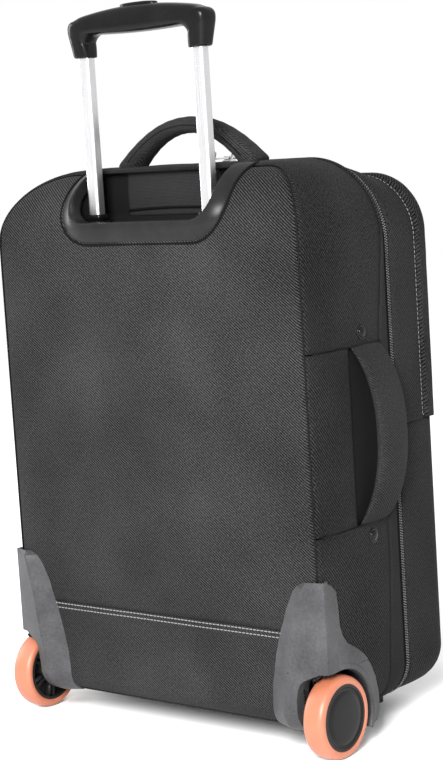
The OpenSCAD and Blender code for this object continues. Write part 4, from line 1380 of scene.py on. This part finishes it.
# ---------------------------------------------------------------- sliders and pulls
def ring_mesh(name, centre, u, w, radius, wire):
    """A round wire ring in the plane of u and w."""
    centre, u, w = np.array(centre), np.array(u), np.array(w)
    turns = np.linspace(0, 2 * math.pi, 28, endpoint=False)
    path = [centre + radius * (math.cos(a) * u + math.sin(a) * w) for a in turns]
    return cord_mesh(name, path, wire, 8, closed=True)


def sliders():
    """Each slider and pull keeps its CAD body, and a wire ring is added to the pull."""
    for name in ("left", "right"):
        for node in ("main_slider_", "main_pull_"):
            paint(nodes[node + name], "nickel")
            bevel(nodes[node + name], 0.35, 2, 40)
        lo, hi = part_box("main_pull_" + name)
        x = ((lo.x + hi.x) / 2 - MIDDLE_X) / MM
        v_far = (BACK_Y - hi.y) / MM
        z = hi.z / MM - 1.2
        ring = ring_mesh("pull_ring_" + name, (x, v_far + 1.6, z + 2.6), (1, 0, 0), (0, 0.5, 0.866), 4.6, 0.8)
        piece(ring, "pull_" + name, "nickel", "zip_metal")


# ---------------------------------------------------------------- CAD nodes that stay
def carried_over():
    """Hard pieces keep their CAD shape and get smooth shading and a worked material; the feet and the trolley
    bracket also get softened edges.
    """
    for mat, names in (
        ("tube", ("inner_tubes", "middle_tubes", "outer_tubes")),
        ("steel", ("bracket_screws", "housing_screws", "axle_left", "axle_right", "axle_nuts",
                   "foot_screws", "grip_screws", "release_rods", "bearings_left", "bearings_right")),
        ("board", ("backboard", "base_tray")),
        ("guard", ("trolley_bracket", "middle_plugs", "inner_plugs")),
        ("foot", ("front_feet",)),
    ):
        for n in names:
            paint(nodes[n], mat)
            shade_by_angle(nodes[n], 32)
    bevel(nodes["front_feet"], 2.0, 3, 40)
    bevel(nodes["trolley_bracket"], 0.8, 2, 40)


# ---------------------------------------------------------------- studio
def camera():
    cam = bpy.data.objects.new("camera", bpy.data.cameras.new("camera"))
    bpy.context.scene.collection.objects.link(cam)
    cam.location = Vector(place((-1212.3, -1383.1, 575.6)))
    right = (-0.77931, -0.62345, -0.06304)
    up = (0.02637, -0.13306, 0.99070)
    back = (-0.62607, 0.77045, 0.12014)
    turn = Matrix((right, up, back)).transposed()
    cam.rotation_mode = "QUATERNION"
    cam.rotation_quaternion = turn.to_quaternion()
    cam.data.lens = 91.506
    cam.data.sensor_width = 36
    cam.data.shift_x, cam.data.shift_y = 0.0030, -0.0086
    cam.data.clip_start, cam.data.clip_end = 0.05, 50
    bpy.context.scene.camera = cam


def lamp(name, place_at, aim, size, power, colour=(1, 1, 1)):
    data = bpy.data.lights.new(name, "AREA")
    data.shape = "RECTANGLE"
    data.size, data.size_y = size
    data.energy = power
    data.color = colour
    obj = bpy.data.objects.new(name, data)
    obj.location = place_at
    obj.rotation_mode = "QUATERNION"
    obj.rotation_quaternion = (Vector(aim) - Vector(place_at)).to_track_quat("-Z", "Y")
    bpy.context.scene.collection.objects.link(obj)


def studio():
    bpy.context.scene.view_settings.view_transform = "Standard"
    world = bpy.data.worlds.new("studio")
    bpy.context.scene.world = world
    world.use_nodes = True
    back = world.node_tree.nodes["Background"]
    back.inputs[0].default_value = (1, 1, 1, 1)
    back.inputs[1].default_value = 1.0
    size = 6.0
    corners = [(x * size, y * size, 0) for x, y in ((-1, -1), (1, -1), (1, 1), (-1, 1))]
    floor = new_mesh("floor", corners, [(0, 1, 2, 3)])
    p = Paint("pale_floor", 0.9)
    grain = p.noise(p.solid(), 3.0)
    p.colour(p.ramp(grain, (0.96, 0.96, 0.96), (0.99, 0.99, 0.99)))
    floor.data.materials.append(p.mat)
    lamp("key", (-1.25, 2.25, 1.4), (0, 0, 0.3), (0.7, 1.0), 170)
    lamp("edge", (2.2, 0.6, 1.0), (0, 0, 0.3), (0.5, 1.4), 30)


camera()
studio()
rear_cloth()
pit()
rim()
grip()
collar("outer_collar_rings", "case", (12.5, 11.2), PIT_Z + 0.5, PIT_Z + 4, "outer_collars")
collar("middle_collar_rings", "middle_stage", (9.8, 8.6), PIT_Z + 4, PIT_Z + 10, "middle_collars")
for hand in (-1, 1):
    guard(hand)
    wheel(hand)
grab_handle()
side_handle()
rivets()
strip_pocket()
main_zip()
pocket_zip()
front_cloth()
linings()
sliders()
carried_over()
